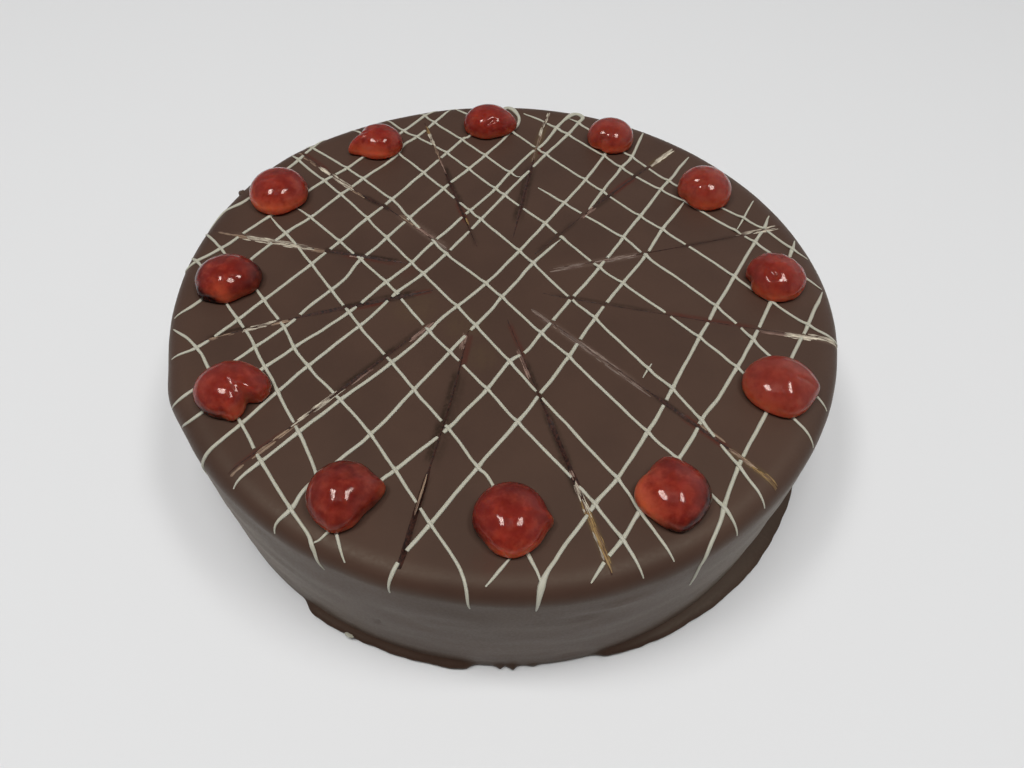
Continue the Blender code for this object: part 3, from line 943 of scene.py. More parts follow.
@dataclass
class ChocolateCoating:
    """The poured coat over the whole cake, down to its foot, with the scores cut into it."""

    skin: CakeSkin
    scores: tuple[Score, ...] = SCORES
    smudges: tuple[Smudge, ...] = SMUDGES
    cells: int = 132                # squares across the top; four times as many go round the rim
    rim_rows: int = 14
    side_rows: int = 22
    foot_rows: int = 12
    base_ease: float = 0.0009       # how far the pool's lower edge turns in
    pool_top: float = 0.0034        # the pool's upper face meets the side at this height
    pool_edge: float = 0.0017       # below this height it has its full spread
    knife_lift: float = 0.0010      # how far a cutter stands above the skin
    knife_flare: float = 0.0011     # and how much wider it may be up there
    knife_rough: float = 0.00036    # how unevenly the coat broke along the knife,
    break_size: float = 0.0018      # in bumps this long
    depth_swing: float = 0.35       # how much a score's depth varies on its way,
    width_swing: float = 0.40       # and its width
    full_depth: float = 0.0007      # a score has its full width from this depth on
    stain_step: float = 0.5         # millimetres between the places that make up a stain
    stain_long: float = 0.007       # a streak in a stain is this long ...
    stain_wide: float = 0.0007      # ... and this wide
    stain_tear: float = 0.9         # how much the streaks break it up
    fine_reach: tuple[float, ...] = (0.0042, 0.0026)    # the mesh is finer this near to a score
    painted_foot_shade: float = 0.5         # painted shade: the pool at the base and the side just above it are darkened towards the bottom

    def top_grid(self) -> tuple[Array, list]:
        """An even grid of squares drawn out to a disc that ends where the rim starts.

        Returns:
            The vertices as rows of unrolled x and y, and the faces.
        """
        count = self.cells
        across = np.linspace(-1.0, 1.0, count + 1)
        right, back = [part.ravel() for part in np.meshgrid(across, across, indexing="ij")]
        wide = np.abs(right) > np.abs(back)
        out = np.where(wide, right, back)
        safe = np.where(out == 0.0, 1.0, out)
        turn = np.where(wide, back / safe * math.pi / 4.0, math.pi / 2.0 - right / safe * math.pi / 4.0)
        flat = (self.skin.radius - self.skin.rim_width) * out[:, None]
        places = flat * np.stack([np.cos(turn), np.sin(turn)], axis=1)
        starts = [column * (count + 1) + row for column in range(count) for row in range(count)]
        return places, [(at, at + count + 1, at + count + 2, at + 1) for at in starts]

    def edge_ring(self) -> list[int]:
        """The grid's outermost vertices.

        Returns:
            Their numbers, counter-clockwise.
        """
        count, column = self.cells, self.cells + 1
        right = [count * column + at for at in range(count)]
        back = [at * column + count for at in range(count, 0, -1)]
        left = list(range(count, 0, -1))
        front = [at * column for at in range(count)]
        return right + back + left + front

    def foot_rise(self, level: float) -> float:
        """The share of the pool's spread that a height has."""
        return 1.0 - smooth_step((level - self.pool_edge) / (self.pool_top - self.pool_edge))

    def mesh(self) -> Object:
        """Makes the whole coat as one closed mesh, before the scores are cut.

        Returns:
            The coat.
        """
        skin = self.skin
        places, faces = self.top_grid()
        ring = self.edge_ring()
        angle = np.degrees(np.arctan2(places[ring, 1], places[ring, 0]))
        turn = np.radians(angle)
        verts = [skin.fold(np.column_stack([places, np.zeros(len(places))]))]
        rim = np.linspace(skin.radius - skin.rim_width, skin.rim_length(), self.rim_rows + 1)[1:]
        low = skin.height - skin.rim_depth
        side = skin.rim_length() + np.linspace(0.0, low - skin.foot_height, self.side_rows + 1)[1:]
        total = len(places)
        rings = [ring]
        for along in [*rim, *side]:
            flat = np.column_stack([along * np.cos(turn), along * np.sin(turn), 0 * turn])
            verts.append(skin.fold(flat))
            rings.append(list(range(total, total + len(ring))))
            total += len(ring)
        spread = skin.foot_spread(angle)
        wave = skin.out_of_round(angle) * (skin.base_radius / skin.radius) ** 2
        for level in np.linspace(skin.foot_height, 0.0, self.foot_rows + 1)[1:]:
            below = 1.0 - min(1.0, level / self.pool_edge)
            nose = self.base_ease * (1.0 - math.sqrt(1.0 - below ** 2))
            out = skin.base_radius + wave + spread * self.foot_rise(level) - nose
            verts.append(np.column_stack([out * np.cos(turn), out * np.sin(turn), np.full_like(out, level)]))
            rings.append(list(range(total, total + len(ring))))
            total += len(ring)
        verts.append(np.zeros((1, 3)))
        for upper, lower in zip(rings[:-1], rings[1:]):
            faces += [(lower[at], lower[(at + 1) % len(ring)], upper[(at + 1) % len(ring)], upper[at])
                      for at in range(len(ring))]
        last = rings[-1]
        faces += [(last[(at + 1) % len(ring)], last[at], total) for at in range(len(ring))]
        made = mesh_object("chocolate_coating", np.vstack(verts), [], faces)
        face_outwards(made.data)
        return made

    def knife(self) -> Object:
        """Makes the cutters: long wedges with uneven faces, each as deep as its score is.

        Returns:
            All of them as one object.
        """
        verts, faces = [], []
        for number, score in enumerate(self.scores, start=1):
            line, across, share = score.frame(0.8)
            spots = np.column_stack([line, 0 * share])
            depth = np.interp(share, *np.array(score.depths).T) * MM
            depth *= 1.0 + self.depth_swing * grain(spots, 0.005, number)
            width = score.width_mm * MM / 2.0 * np.clip(depth / self.full_depth, 0.35, 1.0)
            width *= 1.0 + self.width_swing * grain(spots, 0.009, number + 20)
            upper = np.minimum(width * (depth + self.knife_lift) / depth, width + self.knife_flare)
            left = upper + self.knife_rough * grain(spots, self.break_size, number + 40)
            right = upper + self.knife_rough * grain(spots, self.break_size, number + 60)
            start = sum(len(part) for part in verts)
            rows = np.stack([
                np.column_stack([line + across * left[:, None], np.full(len(line), self.knife_lift)]),
                np.column_stack([line - across * right[:, None], np.full(len(line), self.knife_lift)]),
                np.column_stack([line, -depth])], axis=1)
            verts.append(rows.reshape(-1, 3))
            for at in range(len(line) - 1):
                base = start + 3 * at
                for side in range(3):
                    other = (side + 1) % 3
                    faces.append((base + side, base + other, base + 3 + other, base + 3 + side))
            faces.append((start + 2, start + 1, start))
            tip = start + 3 * (len(line) - 1)
            faces.append((tip, tip + 1, tip + 2))
        made = mesh_object("knife", self.skin.fold(np.vstack(verts)), [], faces)
        face_outwards(made.data)
        return made

    def refine(self, mesh: Mesh) -> None:
        """Halves the squares near the scores, and those nearest once more, so that stains have an edge.

        Args:
            mesh: The coat's mesh.
        """
        tree = search_tree(np.vstack([score.line(1.0) for score in self.scores]) * MM)
        made = bmesh.new()
        made.from_mesh(mesh)
        for reach in self.fine_reach:
            flat = self.skin.unroll(np.array([vert.co[:] for vert in made.verts]))
            level = np.array([vert.co.z for vert in made.verts])
            near = np.zeros(len(flat), bool)
            for at in np.nonzero(level > self.skin.height - 2.0 * self.skin.rim_depth)[0]:
                near[at] = tree.find((flat[at][0], flat[at][1], 0.0))[2] < reach
            made.verts.index_update()
            faces = [face for face in made.faces if len(face.verts) == 4
                     and all(near[vert.index] for vert in face.verts)]
            edges = list({edge for face in faces for edge in face.edges})
            bmesh.ops.subdivide_edges(made, edges=edges, cuts=1, use_grid_fill=True)
        made.to_mesh(mesh)
        made.free()

    def marks(self) -> list[Mark]:
        """Lays out everything that stains the coat.

        Returns:
            The rubs, score by score, and then the smudges.
        """
        found = []
        for score in self.scores:
            line, across, share = score.frame(self.stain_step)
            for rub in score.rubs:
                inside = (share >= rub.start) & (share <= rub.end)
                spot = (share[inside] - rub.start) / (rub.end - rub.start)
                fade = smooth_step(np.minimum(spot, 1.0 - spot) * 5.0) * rub.strength
                found.append(Mark(line[inside] + across[inside] * rub.offset_mm * MM, across[inside],
                                  fade, rub.width_mm * MM / 2.0, rub.what))
        for smudge in self.smudges:
            found.append(Mark(np.array([[smudge.x, smudge.y]]) * MM, np.array([[1.0, 0.0]]),
                              np.array([smudge.strength]), smudge.reach_mm * MM, smudge.what))
        return found

    def stain(self, mesh: Mesh) -> None:
        """Stores the attribute rub: where the coat is stained or has painted shade at its foot, how
        strongly, what colour.

        Args:
            mesh: The coat's mesh.
        """
        flat = self.skin.unroll(coordinates(mesh))
        best = np.zeros(len(flat))
        # where no stain is stronger, the painted shade at the base takes this dark brown
        tint = np.tile(linear(Rubbed.BROWN.value)[:3], (len(flat), 1))
        for number, mark in enumerate(self.marks()):
            tree = search_tree(mark.places)
            around = 2.5 * mark.reach       # nothing of it shows further away
            low, high = mark.places.min(axis=0) - around, mark.places.max(axis=0) + around
            for at in np.nonzero(np.all((flat > low) & (flat < high), axis=1))[0]:
                _, found, away = tree.find((flat[at][0], flat[at][1], 0.0))
                along = self.stain_step * MM * found / self.stain_long
                aside = float((flat[at] - mark.places[found]) @ mark.across[found]) / self.stain_wide
                streak = noise.noise(Vector((along, aside, 3.7 * number)))
                torn = min(1.0, max(0.45, 0.95 + self.stain_tear * streak))
                strength = mark.fade[found] * math.exp(-(away / mark.reach) ** 4) * torn
                if strength > best[at]:
                    best[at] = strength
                    tint[at] = linear(mark.what.value)[:3]
        level = coordinates(mesh)[:, 2]
        # painted shade: darkens the pool at the base and the side just above it, the lower the more
        best = np.maximum(best, self.painted_foot_shade * smooth_step((1.4 * self.pool_top - level) / self.pool_top))
        set_attribute(mesh, "rub", np.column_stack([tint, best]))

    def build(self, look: Material, cut_look: Material) -> Object:
        """Builds the coat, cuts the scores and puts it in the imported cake's place.

        Args:
            look: The poured chocolate.
            cut_look: What shows where the knife went in.

        Returns:
            The piece.
        """
        coat, knife = self.mesh(), self.knife()
        self.refine(coat.data)
        coat.data.materials.append(look)
        knife.data.materials.append(cut_look)
        cut = coat.modifiers.new("scores", "BOOLEAN")
        cut.operation = "DIFFERENCE"
        cut.solver = "EXACT"
        cut.material_mode = "TRANSFER"
        cut.object = knife
        make_plain(coat)
        bpy.data.objects.remove(knife, do_unlink=True)
        self.stain(coat.data)
        finish_piece(coat, None, sharp=38.0)
        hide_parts("cake_body")
        return coat


# -------- cherries
@dataclass(frozen=True)
class Lobe:
    """Where a cherry's outline is drawn out (amount above 0) or torn in (amount below 0)."""

    angle: float
    amount: float
    spread: float


@dataclass(frozen=True)
class Dent:
    """A crease or pit in a cherry: a line between two places as shares of its half size."""

    start: Point
    end: Point
    depth_mm: float
    width_mm: float


@dataclass(frozen=True)
class Patch:
    """A patch of colour in a cherry: its direction, how high it sits (0 to 1), strength and spread."""

    angle: float
    level: float
    amount: float
    spread: float = 55.0


@dataclass(frozen=True)
class GlaceCherry:
    """A halved cherry, cut side down: its place, size, lobes, dents, and where it is light or dark."""

    angle: float
    ring: float
    length: float
    width: float
    height: float
    lobes: tuple[Lobe, ...]
    dents: tuple[Dent, ...] = ()
    # light adds patches of painted glow; dark adds patches of darker tone
    light: tuple[Patch, ...] = ()
    dark: tuple[Patch, ...] = ()
    crumple_mm: float = 0.12
    crumple_size_mm: float = 2.6    # its skin is unevenly shrunk, in bumps about this wide
    sides: int = 96
    rings: int = 44
    undercut: float = 18.0          # degrees of the round left below its widest level
    crown_fade: float = 0.45        # how much of its outline is gone at the crown
    crown_mm: float = 0.0           # a small peak on the crown, or a flat place where below 0
    crown_at: Point = (0.0, 0.0)
    crown_size: float = 0.38        # how far that reaches, as a share of the half size
    foot_turn: float = 0.10         # how much it turns in at its foot, as a share of size and height
    patch_rise: float = 0.30        # how far up and down a patch of colour reaches
    depth: float = 0.0              # how dark the whole cherry is
    haze: float = 0.0               # how pale and cloudy towards the crown: partly the syrup's own cloudiness, partly painted sheen

    def outline(self, angle: Array) -> Array:
        """The outline of the widest level.

        Args:
            angle: Angles about the cherry's own axis.

        Returns:
            The radius at each.
        """
        turn = np.radians(angle)
        along, across = self.length / 2.0, self.width / 2.0
        radius = along * across / np.hypot(across * np.cos(turn), along * np.sin(turn))
        for lobe in self.lobes:
            radius = radius * (1.0 + lobe.amount * bell(angle, lobe.angle, lobe.spread))
        return radius

    def patches(self, places: tuple[Patch, ...], angle: Array, level: Array) -> Array:
        """Adds up some patches of colour.

        Args:
            places: The patches.
            angle: Angles about the cherry's own axis.
            level: How high up each place is, from 0 to 1.

        Returns:
            How strong they are at each place.
        """
        total = np.zeros_like(angle)
        for patch in places:
            rise = np.exp(-((level - patch.level) / self.patch_rise) ** 2)
            total += patch.amount * bell(angle, patch.angle, patch.spread) * rise
        return total

    def dented(self, across: Array) -> Array:
        """How deep the dents go.

        Args:
            across: Rows of x and y as shares of the half size.

        Returns:
            The depth at each place.
        """
        total = np.zeros(len(across))
        for dent in self.dents:
            start, end = np.array(dent.start), np.array(dent.end)
            span = end - start
            share = np.clip(((across - start) @ span) / max(span @ span, 1e-9), 0.0, 1.0)
            away = np.hypot(*(across - start - share[:, None] * span).T)
            size = dent.width_mm * MM / (self.length / 2.0)
            total += dent.depth_mm * MM * np.exp(-(away / size) ** 2)
        return total

    def faces(self) -> list[tuple[int, ...]]:
        """The squares between the rings, and the triangles at the crown and under the cut side.

        Returns:
            Vertex numbers: ring by ring from the crown down, then the crown, then the cut side's middle.
        """
        count, sides = self.rings, self.sides
        found = [(row * sides + at, (row + 1) * sides + at, (row + 1) * sides + (at + 1) % sides,
                  row * sides + (at + 1) % sides) for row in range(count - 1) for at in range(sides)]
        pole, base = count * sides, count * sides + 1
        found += [(pole, at, (at + 1) % sides) for at in range(sides)]
        low = (count - 1) * sides
        return found + [(low + (at + 1) % sides, low + at, base) for at in range(sides)]

    def colour(self, mesh: Mesh, angle: Array, level: Array) -> None:
        """Stores the attributes glow (painted glow), shade (darker tone and painted shade) and cloud.

        Args:
            mesh: The cherry's mesh.
            angle: Each vertex's angle about the cherry's own axis.
            level: How high up each is, from 0 to 1.
        """
        front = bell(angle, -90.0, 85.0)        # painted glow: light that soaked in is painted as coming out low down here
        painted_glow_band = (0.20 + 0.65 * front) * smooth_step((0.52 - level) / 0.45)
        # painted shade: darker on the back side towards the crown, and low down round the sides away from
        # the front
        away = 0.22 * bell(angle, 90.0, 75.0) * smooth_step(level / 0.4)
        edge_shade = 0.45 * (1.0 - front) * smooth_step((0.5 - level) / 0.45)
        shade = self.depth + away + edge_shade + self.patches(self.dark, angle, level)
        set_attribute(mesh, "glow", np.clip(painted_glow_band + self.patches(self.light, angle, level), 0.0, 1.0))
        set_attribute(mesh, "shade", np.clip(shade, 0.0, 1.0))
        # partly painted sheen: the veil grows towards the crown
        set_attribute(mesh, "cloud", self.haze * smooth_step(level / 0.6))

    def build(self, number: int, skin: CakeSkin, look: Material) -> Object:
        """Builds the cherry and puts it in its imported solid's place.

        Args:
            number: Its number, counter-clockwise from the front.
            skin: The cake that it sits on.
            look: Its material.

        Returns:
            The piece.
        """
        cut_level = -math.sin(math.radians(self.undercut))
        tilt = np.radians(np.linspace(90.0, -self.undercut, self.rings + 1)[1:])
        turn = np.arange(self.sides) * 2.0 * math.pi / self.sides
        tilts, turns = [part.ravel() for part in np.meshgrid(tilt, turn, indexing="ij")]
        out = np.append(np.cos(tilts), [0.0, 0.0])
        rise = np.append(np.sin(tilts), [1.0, cut_level])
        angle = np.degrees(np.append(turns, [0.0, 0.0]))
        level = (rise - cut_level) / (1.0 - cut_level)
        plain = min(self.length, self.width) / 2.0
        edge = plain + (self.outline(angle) - plain) * (1.0 - self.crown_fade * level)
        foot = 1.0 - self.foot_turn * smooth_step((self.foot_turn - level) / self.foot_turn)
        across = edge * out * foot
        spin = np.radians(angle)
        local = np.stack([across * np.cos(spin), across * np.sin(spin), self.height * level], axis=1)
        face = np.stack([out * np.cos(spin), out * np.sin(spin), rise], axis=1)
        seed = 10.0 + number
        fade = smooth_step(level / 0.08)        # the cut side stays flat
        fine, broad = self.crumple_size_mm * MM, 2.8 * self.crumple_size_mm * MM
        lump = self.crumple_mm * MM * (grain(local, fine, seed) + 1.3 * grain(local, broad, seed + 30))
        dent = self.dented(face[:, :2])
        from_crown = np.hypot(face[:, 0] - self.crown_at[0], face[:, 1] - self.crown_at[1])
        dent = dent - self.crown_mm * MM * np.exp(-(from_crown / self.crown_size) ** 2)
        local = local + face * ((lump - dent) * fade)[:, None]
        local[:, 2] = np.maximum(local[:, 2], 0.0)
        spot = math.radians(self.angle)
        centre = np.array((self.ring * math.cos(spot), self.ring * math.sin(spot), skin.height))
        made = mesh_object(f"glace_cherry_{number:02d}", local + centre, [], self.faces())
        face_outwards(made.data)
        self.colour(made.data, angle, level)
        finish_piece(made, look)
        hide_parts(f"cherry_{number:02d}")
        return made


CHERRIES = (
    GlaceCherry(
        -88.2, 0.0968, 0.0222, 0.0233, 0.0100,
        (Lobe(-3.0, 0.15, 11.0), Lobe(225.0, -0.09, 20.0), Lobe(-85.0, 0.03, 16.0)),
        dark=(Patch(90.0, 0.7, 0.2), Patch(200.0, 0.2, 0.8, 40.0), Patch(0.0, 0.4, 0.3)),
        light=(Patch(-75.0, 0.25, 0.4), Patch(-20.0, 0.15, 0.3, 25.0)),
        crown_mm=-0.10, crumple_mm=0.012, depth=0.02, haze=0.06),
    GlaceCherry(
        -59.6, 0.1013, 0.0225, 0.0232, 0.0095,
        (Lobe(93.0, 0.11, 16.0), Lobe(138.0, -0.14, 20.0), Lobe(185.0, 0.05, 18.0),
         Lobe(46.0, -0.04, 20.0), Lobe(-85.0, 0.06, 14.0), Lobe(-130.0, -0.07, 20.0),
         Lobe(-40.0, -0.05, 20.0)),
        light=(Patch(180.0, 0.45, 0.7), Patch(215.0, 0.3, 0.5, 40.0)),
        dark=(Patch(-10.0, 0.40, 1.6, 55.0), Patch(-60.0, 0.1, 1.6, 50.0)),
        crown_mm=0.22, crumple_mm=0.05, haze=0.12),
    GlaceCherry(
        -26.4, 0.1018, 0.0250, 0.0228, 0.0095,
        (Lobe(-85.0, 0.11, 22.0), Lobe(-35.0, -0.04, 14.0), Lobe(-5.0, 0.05, 9.0)),
        dents=(Dent((0.35, -0.15), (0.8, -0.25), 0.35, 0.8),),
        light=(Patch(220.0, 0.3, 0.6),), dark=(Patch(10.0, 0.5, 0.4),),
        crown_mm=0.34, crown_at=(0.1, 0.0), crumple_mm=0.05, haze=0.50),
    GlaceCherry(
        3.2, 0.0996, 0.0217, 0.0222, 0.0095, (Lobe(190.0, -0.14, 12.0), Lobe(-100.0, 0.03, 25.0)),
        dents=(Dent((-0.45, -0.2), (-0.3, -0.45), 0.5, 1.0),
               Dent((-0.7, 0.1), (-0.9, 0.0), 0.5, 1.0)),
        light=(Patch(-90.0, 0.2, 0.5, 70.0),), dark=(Patch(60.0, 0.6, 0.2),),
        crumple_mm=0.20, haze=0.25),
    GlaceCherry(
        34.8, 0.0975, 0.0216, 0.0226, 0.0110, (Lobe(215.0, -0.10, 14.0),),
        dents=(Dent((-0.65, -0.45), (-0.2, -0.35), 0.35, 1.0),),
        crown_mm=0.15, crown_at=(0.15, 0.0), haze=0.45, light=(Patch(-90.0, 0.3, 0.5, 80.0),)),
    GlaceCherry(
        64.0, 0.1008, 0.0200, 0.0202, 0.0095, (Lobe(235.0, -0.12, 14.0),),
        dents=(Dent((-0.5, -0.75), (-0.2, -0.8), 0.5, 0.8),), crumple_mm=0.02, haze=0.45,
        light=(Patch(-90.0, 0.2, 0.5, 70.0),)),
    GlaceCherry(
        95.2, 0.0988, 0.0220, 0.0198, 0.0095, (Lobe(2.0, 0.16, 20.0), Lobe(-65.0, -0.10, 20.0)),
        dents=(Dent((-0.5, -0.2), (-0.2, -0.4), 0.08, 0.8),
               Dent((0.05, -0.75), (0.25, -0.6), 0.4, 0.8)),
        crumple_mm=0.07, haze=0.10),
    GlaceCherry(
        123.9, 0.0985, 0.0203, 0.0188, 0.0095, (Lobe(203.0, 0.38, 14.0), Lobe(162.0, -0.18, 14.0)),
        dents=(Dent((-0.9, 0.0), (-0.4, -0.1), 0.5, 0.9),),
        light=(Patch(260.0, 0.3, 0.8),), crown_mm=-0.10, crumple_mm=0.08, haze=0.1),
    GlaceCherry(
        152.6, 0.1022, 0.0228, 0.0243, 0.0108, (Lobe(-50.0, -0.06, 20.0),),
        dents=(Dent((-0.45, -0.14), (-0.05, -0.10), 0.14, 0.8),),
        light=(Patch(-90.0, 0.25, 0.9, 70.0),),
        crown_mm=-0.34, crown_at=(-0.15, 0.0), crumple_mm=0.03, haze=0.08),
    GlaceCherry(
        181.2, 0.0997, 0.0232, 0.0218, 0.0095,
        (Lobe(228.0, 0.09, 14.0), Lobe(25.0, 0.06, 15.0), Lobe(-50.0, -0.12, 20.0)),
        light=(Patch(262.0, 0.35, 0.9, 25.0),),
        dark=(Patch(224.0, 0.16, 1.8, 40.0), Patch(180.0, 0.5, 0.5, 45.0),
              Patch(60.0, 0.5, 0.3, 80.0), Patch(0.0, 0.4, 0.4)),
        crown_mm=0.25, crown_at=(0.30, 0.15), depth=0.08),
    GlaceCherry(
        210.9, 0.1017, 0.0238, 0.0214, 0.0095,
        (Lobe(-38.0, -0.35, 16.0), Lobe(-76.0, 0.12, 10.0), Lobe(12.0, 0.09, 18.0),
         Lobe(-30.0, -0.06, 4.0), Lobe(-45.0, 0.05, 4.0), Lobe(-20.0, 0.04, 4.0)),
        dents=(Dent((0.1, -0.15), (0.4, -0.5), 0.35, 0.8),), crumple_mm=0.07, haze=0.18,
        light=(Patch(-60.0, 0.3, 0.4),), dark=(Patch(-120.0, 0.12, 1.8, 36.0),)),
    GlaceCherry(
        243.0, 0.1012, 0.0214, 0.0224, 0.0100,
        (Lobe(15.0, 0.19, 15.0), Lobe(-38.0, -0.20, 26.0), Lobe(-98.0, 0.08, 14.0)),
        dark=(Patch(90.0, 0.6, 0.2, 80.0), Patch(200.0, 0.3, 0.3)),
        light=(Patch(10.0, 0.2, 0.7, 20.0),), crown_mm=0.34, crown_at=(-0.12, 0.05), crumple_mm=0.03,
        depth=0.22, haze=0.14),
)


# -------- what is laid along a path
@dataclass(frozen=True)
class LaidStrand:
    """Geometry Nodes that lay a soft strand along each path, with uneven width and ragged edges."""

    name: str
    flatness: float                 # height as a share of the half width
    wobble: float = 0.0             # how far the path strays sideways
    wobble_size: float = 0.010
    uneven: float = 0.2             # how much the thickness varies, as a share
    uneven_size: float = 0.007
    ragged: float = 0.0             # how rough its edges are
    ragged_size: float = 0.0012
    seed: float = 0.0
    sides: int = 10                 # corners in a strand's cross-section
    sunk: float = 0.18              # how far the underside goes in, as a share of the half width

    def inputs(self) -> dict[str, float]:
        """The tree's numbers.

        Returns:
            Each by the name of its input.
        """
        return {"Flatness": self.flatness, "Wobble": self.wobble, "Wobble Size": self.wobble_size,
                "Uneven": self.uneven, "Uneven Size": self.uneven_size, "Ragged": self.ragged,
                "Ragged Size": self.ragged_size, "Seed": self.seed, "Sides": self.sides,
                "Sunk": self.sunk}

    def noise_at(self, tree: NodeTree, given: bpy_prop_collection, size: str, shift: float) -> NodeSocket:
        """Adds noise around 0 that reads the geometry's own position.

        Args:
            tree: The tree it goes into.
            given: The tree's inputs, as sockets.
            size: The name of the input that gives the length of one bump.
            shift: What is added to the seed, so that no two patterns are alike.

        Returns:
            The noise, as a vector.
        """
        where = add_node(tree, "GeometryNodeInputPosition").outputs["Position"]
        scale = add_node(tree, "ShaderNodeMath", {0: 1.0, 1: given[size]}, operation="DIVIDE")
        seed = add_node(tree, "ShaderNodeMath", {0: given["Seed"], 1: shift}, operation="ADD")
        found = add_node(tree, "ShaderNodeTexNoise", {
            "Vector": where, "W": seed.outputs["Value"], "Scale": scale.outputs["Value"],
            "Detail": 1.5}, noise_dimensions="4D")
        return add_node(tree, "ShaderNodeVectorMath", {
            0: found.outputs["Color"], 1: (0.5, 0.5, 0.5)}, operation="SUBTRACT").outputs["Vector"]

    def tree(self) -> NodeTree:
        """Builds the node tree, which reads the path's attributes thick and bed.

        Returns:
            The tree.
        """
        tree = bpy.data.node_groups.new(self.name, "GeometryNodeTree")
        tree.interface.new_socket("Paths", in_out="INPUT", socket_type="NodeSocketGeometry")
        for label, value in self.inputs().items():
            kind = "NodeSocketInt" if isinstance(value, int) else "NodeSocketFloat"
            tree.interface.new_socket(label, in_out="INPUT", socket_type=kind)
        tree.interface.new_socket("Look", in_out="INPUT", socket_type="NodeSocketMaterial")
        tree.interface.new_socket("Strands", in_out="OUTPUT", socket_type="NodeSocketGeometry")
        given = add_node(tree, "NodeGroupInput").outputs
        lines = add_node(tree, "GeometryNodeMeshToCurve", {"Mesh": given["Paths"]})
        amount = add_node(tree, "ShaderNodeVectorMath", {
            0: self.noise_at(tree, given, "Wobble Size", 0.0), "Scale": given["Wobble"]}, operation="SCALE")
        level = add_node(tree, "ShaderNodeVectorMath", {
            0: amount.outputs["Vector"], 1: (2.0, 2.0, 0.0)}, operation="MULTIPLY")
        strayed = add_node(tree, "GeometryNodeSetPosition", {
            "Geometry": lines.outputs["Curve"], "Offset": level.outputs["Vector"]})
        upright = add_node(tree, "GeometryNodeSetCurveNormal", {
            "Curve": strayed.outputs["Geometry"]}, mode="Z_UP")
        swell = add_node(tree, "ShaderNodeSeparateXYZ", {
            "Vector": self.noise_at(tree, given, "Uneven Size", 3.7)})
        swell = add_node(tree, "ShaderNodeMath", {
            0: swell.outputs["X"], 1: given["Uneven"]}, operation="MULTIPLY")
        swell = add_node(tree, "ShaderNodeMath", {
            0: swell.outputs["Value"], 1: 2.0, 2: 1.0}, operation="MULTIPLY_ADD")
        thick = add_node(tree, "GeometryNodeInputNamedAttribute", {"Name": "thick"}, data_type="FLOAT")
        width = add_node(tree, "ShaderNodeMath", {
            0: swell.outputs["Value"], 1: thick.outputs["Attribute"]}, operation="MULTIPLY")
        ring = add_node(tree, "GeometryNodeCurvePrimitiveCircle", {
            "Resolution": given["Sides"], "Radius": 1.0})
        swept = add_node(tree, "GeometryNodeCurveToMesh", {
            "Curve": upright.outputs["Curve"], "Profile Curve": ring.outputs["Curve"],
            "Scale": width.outputs["Value"], "Fill Caps": True})
        bed = add_node(tree, "GeometryNodeInputNamedAttribute", {"Name": "bed"}, data_type="FLOAT")
        where = add_node(tree, "GeometryNodeInputPosition")
        parts = add_node(tree, "ShaderNodeSeparateXYZ", {"Vector": where.outputs["Position"]})
        above = add_node(tree, "ShaderNodeMath", {
            0: parts.outputs["Z"], 1: bed.outputs["Attribute"]}, operation="SUBTRACT")
        upper = add_node(tree, "ShaderNodeMath", {0: above.outputs["Value"], 1: 0.0}, operation="MAXIMUM")
        lower = add_node(tree, "ShaderNodeMath", {0: above.outputs["Value"], 1: 0.0}, operation="MINIMUM")
        upper = add_node(tree, "ShaderNodeMath", {
            0: upper.outputs["Value"], 1: given["Flatness"]}, operation="MULTIPLY")
        lower = add_node(tree, "ShaderNodeMath", {
            0: lower.outputs["Value"], 1: given["Sunk"], 2: upper.outputs["Value"]},
            operation="MULTIPLY_ADD")
        height = add_node(tree, "ShaderNodeMath", {
            0: lower.outputs["Value"], 1: bed.outputs["Attribute"]}, operation="ADD")
        pressed = add_node(tree, "ShaderNodeCombineXYZ", {
            "X": parts.outputs["X"], "Y": parts.outputs["Y"], "Z": height.outputs["Value"]})
        rough = add_node(tree, "ShaderNodeVectorMath", {
            0: self.noise_at(tree, given, "Ragged Size", 7.1), "Scale": given["Ragged"]}, operation="SCALE")
        rough = add_node(tree, "ShaderNodeVectorMath", {
            0: rough.outputs["Vector"], 1: (2.0, 2.0, 0.6)}, operation="MULTIPLY")
        laid = add_node(tree, "GeometryNodeSetPosition", {
            "Geometry": swept.outputs["Mesh"], "Position": pressed.outputs["Vector"],
            "Offset": rough.outputs["Vector"]})
        real = add_node(tree, "GeometryNodeRealizeInstances", {"Geometry": laid.outputs["Geometry"]})
        dressed = add_node(tree, "GeometryNodeSetMaterial", {
            "Geometry": real.outputs["Geometry"], "Material": given["Look"]})
        add_node(tree, "NodeGroupOutput", {"Strands": dressed.outputs["Geometry"]})
        return tree

    def lay(self, paths: Object, look: Material) -> None:
        """Turns an object's paths into strands and leaves a plain mesh.

        Args:
            paths: A mesh of edges with the attributes thick and bed.
            look: The strands' material.
        """
        tree = self.tree()
        values = {**self.inputs(), "Look": look}
        sweep = paths.modifiers.new(self.name, "NODES")
        sweep.node_group = tree
        for item in tree.interface.items_tree:
            if item.in_out == "INPUT" and item.name in values:
                sweep[item.identifier] = values[item.name]
        make_plain(paths)


